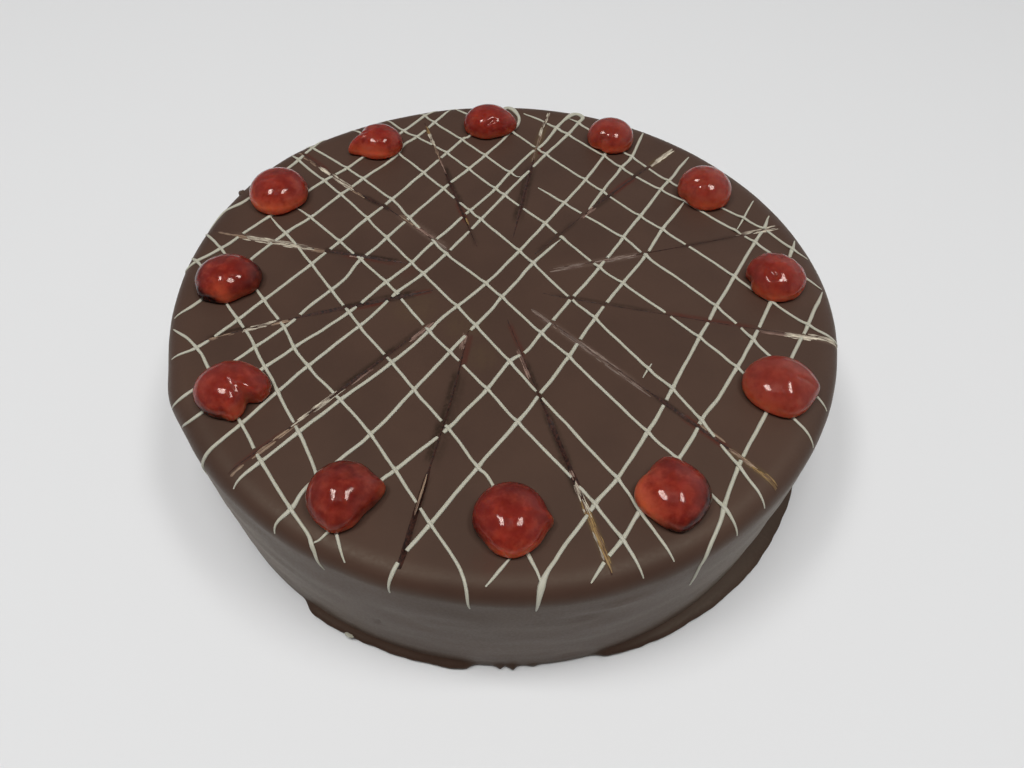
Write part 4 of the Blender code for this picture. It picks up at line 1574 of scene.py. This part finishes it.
@dataclass
class PathSet:
    """Paths gathered into one mesh of edges, with a thickness and a bed height at every point."""

    places: list = field(default_factory=list)
    edges: list = field(default_factory=list)
    thick: list = field(default_factory=list)
    tint: list = field(default_factory=list)
    shortest: int = 4               # a path has at least this many points

    def add(self, line: Array, thick: Array, tint: tuple = (1.0, 1.0, 1.0, 1.0),
            least: float = 0.00016) -> None:
        """Adds one path and leaves out where it is thinner than the least.

        Args:
            line: Rows of unrolled x, y and bed height in metres.
            thick: The half width at each row.
            tint: The colour that the path carries.
            least: Half widths below this break the path.
        """
        run: list[int] = []
        for at in range(len(line) + 1):
            if at < len(line) and thick[at] >= least:
                run.append(at)
                continue
            if len(run) >= self.shortest:
                start = len(self.places)
                self.places += [line[spot] for spot in run]
                self.thick += [thick[spot] for spot in run]
                self.tint += [tint] * len(run)
                self.edges += [(start + spot, start + spot + 1) for spot in range(len(run) - 1)]
            run = []

    def item(self, name: str) -> Object:
        """Makes the paths an object.

        Args:
            name: The object's name.

        Returns:
            A mesh of edges with the attributes thick, bed and tint.
        """
        places = np.array(self.places)
        made = mesh_object(name, places, self.edges, [])
        set_attribute(made.data, "thick", np.array(self.thick))
        set_attribute(made.data, "bed", places[:, 2])
        set_attribute(made.data, "tint", np.array(self.tint))
        return made


@dataclass(frozen=True)
class Stroke:
    """One pull of the piping bag: its way over the cake, its width, and how it ends."""

    way: tuple[Point, ...]
    width_mm: float
    tip_mm: float = 7.0


def strokes(width_mm: float, *ways: tuple[Point, ...]) -> tuple[Stroke, ...]:
    """Several strokes of one width."""
    return tuple(Stroke(way, width_mm) for way in ways)


FIRST_PASS = strokes(
    1.35,
    ((-116, 29), (-111, 38), (-103, 44), (-88, 67), (-82, 80), (-79, 89)),
    ((-120, 7), (-116, 8), (-107, 16), (-101, 24), (-92, 35), (-74, 57), (-66, 66), (-60, 75),
     (-46, 94), (-38, 106), (-32, 114)),
    ((-116, -19), (-109, -12), (-94, 12), (-84, 26), (-76, 35), (-59, 59), (-48, 75), (-45, 84),
     (-40, 90), (-33, 101), (-26, 114)),
    ((-112, -37), (-104, -33), (-93, -20), (-86, -10), (-72, 9), (-54, 35), (-46, 47), (-35, 65),
     (-20, 89), (-17, 92), (-4, 112), (0, 115), (4, 109), (4, 102), (1, 96), (-10, 78), (-26, 55),
     (-38, 36), (-45, 25), (-54, 12), (-59, 1), (-68, -11), (-74, -20), (-84, -32), (-89, -38),
     (-101, -52), (-108, -55)),
    ((-103, -63), (-95, -60), (-79, -41), (-55, -15), (-44, 0), (-35, 11), (-28, 22), (-17, 38),
     (-5, 56), (1, 67), (10, 81), (15, 87), (21, 99), (25, 106), (28, 110), (31, 112), (33, 108),
     (31, 104), (26, 95), (16, 80), (6, 64), (-1, 52), (-10, 37), (-20, 20), (-30, 6), (-39, -5),
     (-50, -21), (-65, -40), (-73, -51), (-82, -64), (-92, -76), (-99, -80)),
    ((-80, -87), (-78, -84), (-73, -78), (-63.4, -66.6), (-52.2, -53.7), (-37.3, -37.6), (-26, -23),
     (-22, -17), (-7, 1), (5, 19), (15, 35), (23, 48), (32, 63), (41, 80), (43, 85), (56, 104)),
    ((-66, -101), (-65, -98), (-61, -94), (-58, -87), (-49, -76), (-41, -67), (-29, -49), (-18, -32),
     (-1, -6), (10, 12), (21, 26)),
    ((32, 43), (39, 56), (48, 72), (53, 80), (60, 99)),
    ((-53, -104), (-49, -101), (-36, -84), (-32, -80), (-17, -64), (-5, -48), (2, -36), (8, -31),
     (13, -23), (24, -6), (35, 11), (53, 41), (63, 58), (67, 64), (78, 82)),
    ((-31, -119), (-30, -114), (-27, -108), (-20, -98), (-7, -78), (5, -61), (12, -50), (22, -33),
     (32, -15), (43, 3), (53, 18), (61, 33), (72, 51)),
    ((-4, -116), (0, -112), (4, -107)),
    ((11, -124), (12, -115), (19, -103), (28, -90), (35, -81), (46, -64), (56, -46), (68, -23),
     (76, -8), (85, 8), (96, 27), (101, 35), (105, 44)),
    ((25, -114), (35, -101), (41, -92), (56, -72), (64, -59), (73, -46), (79, -36), (86, -24),
     (96, -5), (109, 22), (112, 30)),
    ((67, -119), (60, -105), (66, -91), (73, -76), (86, -54), (99, -30), (107, -16), (116, 2)),
) + strokes(0.8, ((46, -43), (51, -34)), ((90, 34), (94, 41), (101, 54)))

SECOND_PASS = strokes(
    1.12,
    ((-117, 29), (-107, 16), (-92, -2), (-86, -10), (-77, -22), (-65, -40), (-53, -53), (-41, -67),
     (-32, -80), (-20, -98), (-10, -113), (-8, -124)),
    ((-120, 16), (-114, 9), (-99, -12), (-84, -32), (-73, -51), (-64, -66), (-56, -81), (-47, -101),
     (-43, -110)),
    ((-115, -23), (-104, -33), (-98, -40), (-82, -64), (-73, -78), (-61, -94), (-53, -104), (-52, -113)),
    ((-92, 35), (-79, 19), (-72, 9), (-55, -15), (-38, -37), (-29, -49), (-17, -64), (-7, -78),
     (-3, -83), (9, -108), (12, -115)),
    ((-83, 41), (-76, 35), (-54, 12), (-39, -5), (-26, -23), (-5, -48), (5, -61), (19, -78),
     (28, -90), (35, -101), (41, -112)),
    ((-91, 77), (-86, 70), (-66, 49), (-54, 35), (-35, 11), (-17, -11), (2, -36), (12, -50),
     (35, -81), (41, -92), (50, -107)),
    ((-86, 82), (-82, 79), (-66, 66), (-46, 47), (-38, 36), (-22, 16), (-7, 1), (13, -23), (22, -33),
     (46, -64), (53, -72), (64, -87), (71, -98)),
    ((-55, 104), (-46, 94), (-40, 90), (-26, 79), (-5, 56), (15, 35), (35, 11), (43, 3), (68, -23),
     (81, -39), (98, -63), (100, -66)),
    ((-70, 96), (-48, 79), (-35, 65), (-15, 42), (5, 19), (24, -6), (32, -15), (49, -38), (56, -46),
     (64, -59), (73, -76), (80, -89)),
    ((-41, 110), (-33, 101), (-20, 89), (1, 67), (6, 64)),
    ((12, 58), (23, 48), (45, 28), (53, 18), (76, -8), (90, -29), (103, -47), (107, -52)),
    ((-25, 114), (-19, 109), (1, 96), (16, 80), (39, 56), (53, 41), (70, 24), (89, 3), (96, -5),
     (107, -16), (114, -21), (119, -22)),
    ((6, 111), (16, 104), (26, 95), (41, 80), (48, 72), (63, 58), (72, 51), (78, 45), (96, 27),
     (113, 6), (116, 2)),
    ((27, 107), (31, 104), (50, 83), (67, 64), (86, 48), (101, 35), (110, 23), (115, 19)),
)


@dataclass(frozen=True)
class Pool:
    """A place where the drizzle ran together, as where the bag turned: centre, reach and extra width."""

    x: float
    y: float
    reach_mm: float
    extra: float


POOLS = (Pool(1.0, 114.0, 5.0, 1.0), Pool(30.0, 111.0, 5.0, 0.9), Pool(22.0, 98.0, 5.0, 0.25),
         Pool(-23.0, 112.0, 3.0, 0.4), Pool(-104.0, 40.0, 3.0, 0.5), Pool(14.0, -117.0, 4.0, 0.4),
         Pool(21.0, 28.0, 2.0, 0.4), Pool(-120.0, 7.0, 3.0, 0.4))


@dataclass
class Drizzle:
    """White chocolate piped to and fro in two passes: the second lies over the first."""

    skin: CakeSkin
    first: tuple[Stroke, ...] = FIRST_PASS
    second: tuple[Stroke, ...] = SECOND_PASS
    scores: tuple[Score, ...] = SCORES
    step_mm: float = 0.8
    node_mm: float = 1.6            # strands run together this far from a crossing
    node_swell: float = 0.24
    pools: tuple[Pool, ...] = POOLS
    run_from_mm: float = 112.0      # past this the strands ran down the rim before they set
    run_share: float = 0.18
    run_to_mm: float = 60.0         # but not at the back, past this y
    cut_gap_mm: float = 0.40        # the knife broke the strands this far to either side
    cut_blend_mm: float = 0.5       # and thinned them this far beyond
    tip_share: float = 0.20         # a strand's half width at its very tip, as a share of the full one
    stacked_mm: float = 0.45        # the second pass rises this much over the first

    def lines(self, pulls: tuple[Stroke, ...]) -> list[Array]:
        """The strokes' ways at an even step.

        Args:
            pulls: The strokes.

        Returns:
            Rows of unrolled x and y in millimetres for each.
        """
        found = []
        for pull in pulls:
            line = smooth_path(pull.way, self.step_mm)
            along = np.hypot(*line.T)
            run = 1.0 + self.run_share * np.maximum(along - self.run_from_mm, 0.0) / along
            found.append(line * np.where(line[:, 1] < self.run_to_mm, run, 1.0)[:, None])
        return found

    def away(self, tree: kdtree.KDTree, line: Array) -> Array:
        """The distance from each point of a line to the nearest point in a search tree."""
        return np.array([tree.find((spot[0], spot[1], 0.0))[2] for spot in line])

    def one_pass(self, name: str, pulls: tuple[Stroke, ...], other: tuple[Stroke, ...], over: bool,
                 strand: LaidStrand, look: Material) -> Object:
        """Builds one pass as a piece.

        Args:
            name: The piece's name.
            pulls: Its strokes.
            other: The other pass's strokes.
            over: Whether this pass lies over the other.
            strand: How its strands are laid.
            look: Their material.

        Returns:
            The piece.
        """
        crossing = search_tree(np.vstack(self.lines(other)))
        cut = search_tree(np.vstack([score.line(0.5) for score in self.scores]))
        paths = PathSet()
        for pull, line in zip(pulls, self.lines(pulls)):
            near = np.exp(-(self.away(crossing, line) / self.node_mm) ** 2)
            along = np.arange(len(line)) * self.step_mm
            tip = np.minimum(along, along[-1] - along) / pull.tip_mm
            full = self.tip_share + (1.0 - self.tip_share) * np.clip(tip, 0.0, 1.0) ** 0.7
            half = pull.width_mm / 2.0 * full
            half = half * (1.0 + self.node_swell * near)
            for pool in self.pools:
                away = np.hypot(line[:, 0] - pool.x, line[:, 1] - pool.y)
                half = half * (1.0 + pool.extra * np.exp(-(away / pool.reach_mm) ** 2))
            whole = smooth_step((self.away(cut, line) - self.cut_gap_mm) / self.cut_blend_mm)
            half = half * np.where(whole < 0.12, 0.0, 0.6 + 0.4 * whole)
            bed = self.stacked_mm * near if over else 0.0 * near
            paths.add(np.column_stack([line, bed]) * MM, half * MM)
        made = paths.item(name)
        strand.lay(made, look)
        move_vertices(made.data, self.skin.fold(coordinates(made.data)))
        face_outwards(made.data)
        finish_piece(made, look)
        return made

    def build(self, look: Material) -> list[Object]:
        """Builds both passes.

        Args:
            look: The white chocolate.

        Returns:
            The two pieces.
        """
        lower = LaidStrand("drizzle_first_strand", flatness=0.7, wobble=0.0006, wobble_size=0.013,
                           uneven=0.24, seed=1.0)
        upper = LaidStrand("drizzle_second_strand", flatness=0.7, wobble=0.0005, wobble_size=0.012,
                           uneven=0.26, seed=5.0)
        return [self.one_pass("drizzle_first_pass", self.first, self.second, False, lower, look),
                self.one_pass("drizzle_second_pass", self.second, self.first, True, upper, look)]


@dataclass
class KnifeDrag:
    """Cream, crumb and scraped chocolate along the scores."""

    skin: CakeSkin
    scores: tuple[Score, ...] = SCORES
    thread_mm: float = 0.65         # a streak is made of threads about this wide
    fullness: float = 0.58          # a thread's half width as a share of its lane
    tearing: float = 1.9            # how broken the threads are
    tear_size: float = 0.0035       # and how far apart the breaks are
    least_half: float = 0.00010     # a thread stops where its half width is below this
    slip: float = 0.25              # how far a thread may start early or late, as a share of its length
    fading: float = 0.6             # how much lighter or darker one thread is than the next
    step_mm: float = 0.5
    apart_mm: float = 300.0         # keeps one score's scratches clear of the next one's

    def comb(self, mesh: Mesh) -> None:
        """Stores the attribute lane: how far along and across its score each vertex lies, in mm.

        Args:
            mesh: The streaks, still laid out flat.
        """
        lines, sideways, along = [], [], []
        for number, score in enumerate(self.scores):
            line, across, _ = score.frame(self.step_mm)
            lines.append(line)
            sideways.append(across)
            along.append(self.step_mm * np.arange(len(line)) + self.apart_mm * number)
        lines, sideways, along = np.vstack(lines), np.vstack(sideways), np.concatenate(along)
        tree = search_tree(lines)
        lanes = []
        for place in coordinates(mesh)[:, :2]:
            _, found, _ = tree.find((place[0], place[1], 0.0))
            lanes.append((along[found], float((place - lines[found]) @ sideways[found]) / MM, 0.0, 1.0))
        set_attribute(mesh, "lane", np.array(lanes))

    def threads(self, number: int, score: Score, paths: PathSet) -> None:
        """Adds one score's streaks as thin threads side by side, each torn where it ran out.

        Args:
            number: The score's number, which picks the threads' unevenness.
            score: The score.
            paths: What they are added to.
        """
        line, across, share = score.frame(self.step_mm)
        for order, smear in enumerate(score.smears):
            count = max(1, round(smear.width_mm / self.thread_mm))
            for lane in range(count):
                seed = 80.0 + 13.0 * number + 5.0 * order + lane        # picks this thread's unevenness
                slip = self.slip * (smear.end - smear.start) * noise.noise(Vector((seed, 0.3, 0.7)))
                inside = (share >= smear.start + slip) & (share <= smear.end + slip)
                spot = (share[inside] - smear.start - slip) / (smear.end - smear.start)
                aside = smear.offset_mm + (lane - (count - 1) / 2.0) * self.thread_mm
                place = line[inside] + across[inside] * aside * MM
                ends = np.sqrt(np.clip(np.minimum(spot, 1.0 - spot) * 5.0, 0.02, 1.0))
                rows = np.column_stack([place, 0 * spot])
                torn = np.clip(1.0 + self.tearing * grain(rows, self.tear_size, seed), 0.0, 1.4)
                half = self.fullness * smear.width_mm / count * MM * ends * torn
                shade = 1.0 + self.fading * noise.noise(Vector((seed, 1.7, 0.2)))
                tint = np.array(linear(smear.what.value)) * shade
                paths.add(rows, half, tuple(tint), least=self.least_half)

    def build(self, look: Material) -> Object:
        """Builds every streak as one piece.

        Args:
            look: The streaks' material.

        Returns:
            The piece.
        """
        paths = PathSet()
        for number, score in enumerate(self.scores):
            self.threads(number, score, paths)
        made = paths.item("score_streaks")
        strand = LaidStrand("knife_streak", flatness=0.30, wobble=0.0003, wobble_size=0.006,
                            uneven=0.30, uneven_size=0.004, ragged=0.00012, ragged_size=0.0009,
                            seed=9.0, sides=8, sunk=0.4)
        strand.lay(made, look)
        self.comb(made.data)
        move_vertices(made.data, self.skin.fold(coordinates(made.data)))
        face_outwards(made.data)
        finish_piece(made, look)
        return made


@dataclass(frozen=True)
class Scrap:
    """A loose bit that stuck to the cake: its name and finish, where it sits, and its half sizes in mm."""

    name: str
    slot: str
    angle: float
    ring: float
    level: float
    half_mm: tuple[float, float, float]     # outwards, round the cake, upwards
    seed: float

    def build(self, look: Material) -> Object:
        """Builds the bit as a lumpy pebble.

        Args:
            look: Its material.

        Returns:
            The piece.
        """
        made = bmesh.new()
        bmesh.ops.create_icosphere(made, subdivisions=3, radius=1.0)
        mesh = bpy.data.meshes.new(self.name)
        made.to_mesh(mesh)
        made.free()
        item = bpy.data.objects.new(self.name, mesh)
        bpy.context.scene.collection.objects.link(item)
        ball = coordinates(mesh)
        ball = ball * (1.0 + 0.7 * grain(ball, 1.1, self.seed) + 0.3 * grain(ball, 0.5, self.seed))[:, None]
        ball = ball * np.array(self.half_mm) * MM
        turn = math.radians(self.angle)
        out = np.array((math.cos(turn), math.sin(turn), 0.0))
        aside = np.array((-math.sin(turn), math.cos(turn), 0.0))
        up = np.array((0.0, 0.0, 1.0))
        move_vertices(mesh, out * self.ring + up * self.level
                      + ball[:, :1] * out + ball[:, 1:2] * aside + ball[:, 2:] * up)
        set_attribute(mesh, "rub", np.zeros((len(ball), 4)))    # no stain on it
        face_outwards(mesh)
        finish_piece(item, look)
        return item


CHIP = Scrap("white_chip", "white_chocolate", 245.0, 0.1192, 0.0026, (0.6, 1.5, 0.45), 3.0)
NIB = Scrap("rim_nib", "chocolate_coating", 154.3, 0.1191, 0.0613, (1.2, 1.6, 1.0), 8.0)


# -------- studio
@dataclass(frozen=True)
class Panel:
    """A soft light over the cake: its place, size along X and Y, power, and what it shows on."""

    name: str
    place: tuple[float, float, float]
    width: float
    length: float
    watts: float
    seen_in_gloss: bool = True
    lights_matt: bool = True


@dataclass
class Studio:
    """A pale floor, soft light all round, two ceiling panels that show in the gloss, and the camera."""

    floor_size: float = 6.0
    floor_colour: str = "e7e8ea"
    painted_floor_shade: str = "a8a9ab"     # painted shade: the floor is darker in front, past what the camera sees, so that the cake's front reflects a darker floor
    # each side has a panel that only shows in the gloss, and a fill that only lights what is matt
    panels: tuple[Panel, ...] = (
        Panel("ceiling_panel_left", (-0.88, -0.20, 2.1), 0.40, 0.62, 20.0, lights_matt=False),
        Panel("ceiling_panel_right", (0.80, -0.20, 2.1), 0.40, 0.62, 18.0, lights_matt=False),
        Panel("left_fill", (-0.88, -0.20, 2.1), 0.40, 0.62, 13.4, seen_in_gloss=False),
        Panel("right_fill", (0.80, -0.20, 2.1), 0.40, 0.62, 11.7, seen_in_gloss=False),
        Panel("overhead_fill", (-0.10, -0.30, 2.2), 0.8, 0.8, 21.0, seen_in_gloss=False),
    )
    room_light: float = 0.10
    wall_light: float = 0.34
    low_wall: float = 0.5           # the walls near the floor show this much of it
    ceiling_light: float = 0.10
    window_side: float = 0.35       # how much brighter the room shows to the right
    both_sides: float = 0.7         # and how much brighter to either side than ahead
    dark_front: float = 0.75        # how much darker it is behind the camera
    window_light: float = 0.28      # a window high up behind the cake, to the right
    window_toward: tuple[float, float, float] = (0.6, 0.6, 0.53)
    backdrop_light: float = 0.74
    panel_tint: tuple[float, float, float] = (1.0, 0.99, 0.97)
    room_tint: tuple[float, float, float, float] = (0.98, 0.99, 1.0, 1.0)
    camera_at: tuple[float, float, float] = (0.0, -0.20929, 0.26973)
    pan: float = 1.055              # degrees to the right of straight ahead,
    pitch: float = 51.60            # down,
    roll: float = 2.144             # and counter-clockwise about its own axis
    lens: float = 28.125            # millimetres, for a sensor of ...
    sensor: float = 36.0            # ... this width

    def floor(self) -> None:
        """Makes the floor, which is darker in front as painted shade."""
        half = self.floor_size / 2.0
        corners = np.array([(-half, -half, 0.0), (half, -half, 0.0), (half, half, 0.0), (-half, half, 0.0)])
        made = mesh_object("studio_floor", corners, [], [(0, 1, 2, 3)])
        look, tree, shader = new_material("matt_studio_paper")
        place = add_node(tree, "ShaderNodeTexCoord").outputs["Object"]
        parts = add_node(tree, "ShaderNodeSeparateXYZ", {"Vector": place})
        share = add_node(tree, "ShaderNodeMapRange", {
            "Value": parts.outputs["Y"], "From Min": -0.85, "From Max": -0.35},
            interpolation_type="SMOOTHSTEP")
        # painted shade: the floor darkens towards the front
        colour = add_node(tree, "ShaderNodeMix", {
            "Factor": share.outputs["Result"], 6: linear(self.painted_floor_shade), 7: linear(self.floor_colour)},
            data_type="RGBA")
        fill(tree, shader, {
            "Base Color": colour.outputs[2], "Roughness": 0.9, "Specular IOR Level": 0.2})
        made.data.materials.append(look)

    def room(self) -> None:
        """Makes the room: little light of its own, walls that show in the gloss, and a pale backdrop."""
        world = bpy.data.worlds.new("soft_room")
        bpy.context.scene.world = world
        world.use_nodes = True
        tree = world.node_tree
        toward = add_node(tree, "ShaderNodeTexCoord").outputs["Generated"]
        rise = add_node(tree, "ShaderNodeSeparateXYZ", {"Vector": toward})
        ceiling = add_node(tree, "ShaderNodeMapRange", {
            "Value": rise.outputs["Z"], "From Min": 0.40, "From Max": 0.86,
            "To Min": self.wall_light, "To Max": self.ceiling_light}, interpolation_type="SMOOTHSTEP")
        lean = add_node(tree, "ShaderNodeMath", {
            0: rise.outputs["X"], 1: self.window_side, 2: 1.0}, operation="MULTIPLY_ADD")
        dado = add_node(tree, "ShaderNodeMapRange", {
            "Value": rise.outputs["Z"], "From Min": 0.05, "From Max": 0.50,
            "To Min": self.low_wall, "To Max": 1.0}, interpolation_type="SMOOTHSTEP")
        aside = add_node(tree, "ShaderNodeMath", {0: rise.outputs["X"], 1: 2.0}, operation="POWER")
        aside = add_node(tree, "ShaderNodeMath", {
            0: aside.outputs["Value"], 1: self.both_sides, 2: 1.0}, operation="MULTIPLY_ADD")
        behind = add_node(tree, "ShaderNodeMapRange", {
            "Value": rise.outputs["Y"], "From Min": -0.85, "From Max": -0.25,
            "To Min": 1.0 - self.dark_front, "To Max": 1.0}, interpolation_type="SMOOTHSTEP")
        shown = ceiling
        for part in (lean, dado, aside, behind):
            shown = add_node(tree, "ShaderNodeMath", {
                0: shown.outputs[0], 1: part.outputs[0]}, operation="MULTIPLY")
        facing = add_node(tree, "ShaderNodeVectorMath", {
            0: toward, 1: self.window_toward}, operation="DOT_PRODUCT")
        window = add_node(tree, "ShaderNodeMapRange", {
            "Value": facing.outputs["Value"], "From Min": 0.80, "From Max": 0.98,
            "To Min": 0.0, "To Max": self.window_light}, interpolation_type="SMOOTHSTEP")
        shown = add_node(tree, "ShaderNodeMath", {
            0: shown.outputs["Value"], 1: window.outputs["Result"]}, operation="ADD")
        path = add_node(tree, "ShaderNodeLightPath")
        amount = add_node(tree, "ShaderNodeMix", {
            "Factor": path.outputs["Is Glossy Ray"], "A": self.room_light,
            "B": shown.outputs["Value"]}, data_type="FLOAT")
        amount = add_node(tree, "ShaderNodeMix", {
            "Factor": path.outputs["Is Camera Ray"], "A": amount.outputs["Result"],
            "B": self.backdrop_light}, data_type="FLOAT")
        back = tree.nodes["Background"]
        fill(tree, back, {"Color": self.room_tint, "Strength": amount.outputs["Result"]})

    def light(self) -> None:
        """Hangs the panels."""
        for panel in self.panels:
            data = bpy.data.lights.new(panel.name, "AREA")
            data.shape = "RECTANGLE"
            data.size, data.size_y = panel.width, panel.length
            data.energy = panel.watts
            data.color = self.panel_tint
            lamp = bpy.data.objects.new(panel.name, data)
            bpy.context.scene.collection.objects.link(lamp)
            away = Vector(panel.place).normalized()
            side = Vector((0.0, 1.0, 0.0)).cross(away).normalized()
            turned = Matrix((side, away.cross(side), away)).transposed().to_4x4()
            lamp.matrix_world = Matrix.Translation(panel.place) @ turned
            lamp.visible_glossy = panel.seen_in_gloss
            lamp.visible_diffuse = panel.lights_matt

    def camera(self) -> None:
        """Makes the camera and sets it as the scene's."""
        data = bpy.data.cameras.new("camera")
        data.lens, data.sensor_width = self.lens, self.sensor
        data.dof.use_dof = False
        camera = bpy.data.objects.new("camera", data)
        bpy.context.scene.collection.objects.link(camera)
        pan, pitch, roll = (math.radians(part) for part in (self.pan, self.pitch, self.roll))
        ahead = Vector((math.sin(pan) * math.cos(pitch), math.cos(pan) * math.cos(pitch), -math.sin(pitch)))
        level = Vector((math.cos(pan), -math.sin(pan), 0.0))
        upright = level.cross(ahead)
        right = math.cos(roll) * level + math.sin(roll) * upright
        up = -math.sin(roll) * level + math.cos(roll) * upright
        turned = Matrix((right, up, -ahead)).transposed().to_4x4()
        camera.matrix_world = Matrix.Translation(self.camera_at) @ turned
        bpy.context.scene.camera = camera

    def build(self) -> None:
        """Builds floor, light and camera, and shows colours as they are."""
        self.floor()
        self.room()
        self.light()
        self.camera()
        bpy.context.scene.view_settings.view_transform = "Standard"


def corners(box: tuple) -> list[list[float]]:
    """A box's two corners as plain lists."""
    return [[float(part) for part in corner] for corner in box]


def main() -> None:
    """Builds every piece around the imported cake, then the studio."""
    logging.basicConfig(level=logging.INFO, format="%(name)s: %(message)s")
    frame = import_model()
    log.info("packed solids: %d", len(frame["nodes"]))
    skin = CakeSkin()
    poured, white = PouredChocolate().material(), WhiteChocolate().material()
    ChocolateCoating(skin).build(poured, CutChocolate().material())
    flesh = GlaceCherryFlesh().material()
    for number, cherry in enumerate(CHERRIES, start=1):
        cherry.build(number, skin, flesh)
    Drizzle(skin).build(white)
    KnifeDrag(skin).build(DraggedCrumb().material())
    CHIP.build(white)
    NIB.build(poured)
    Studio().build()


if __name__ == "__main__":
    main()
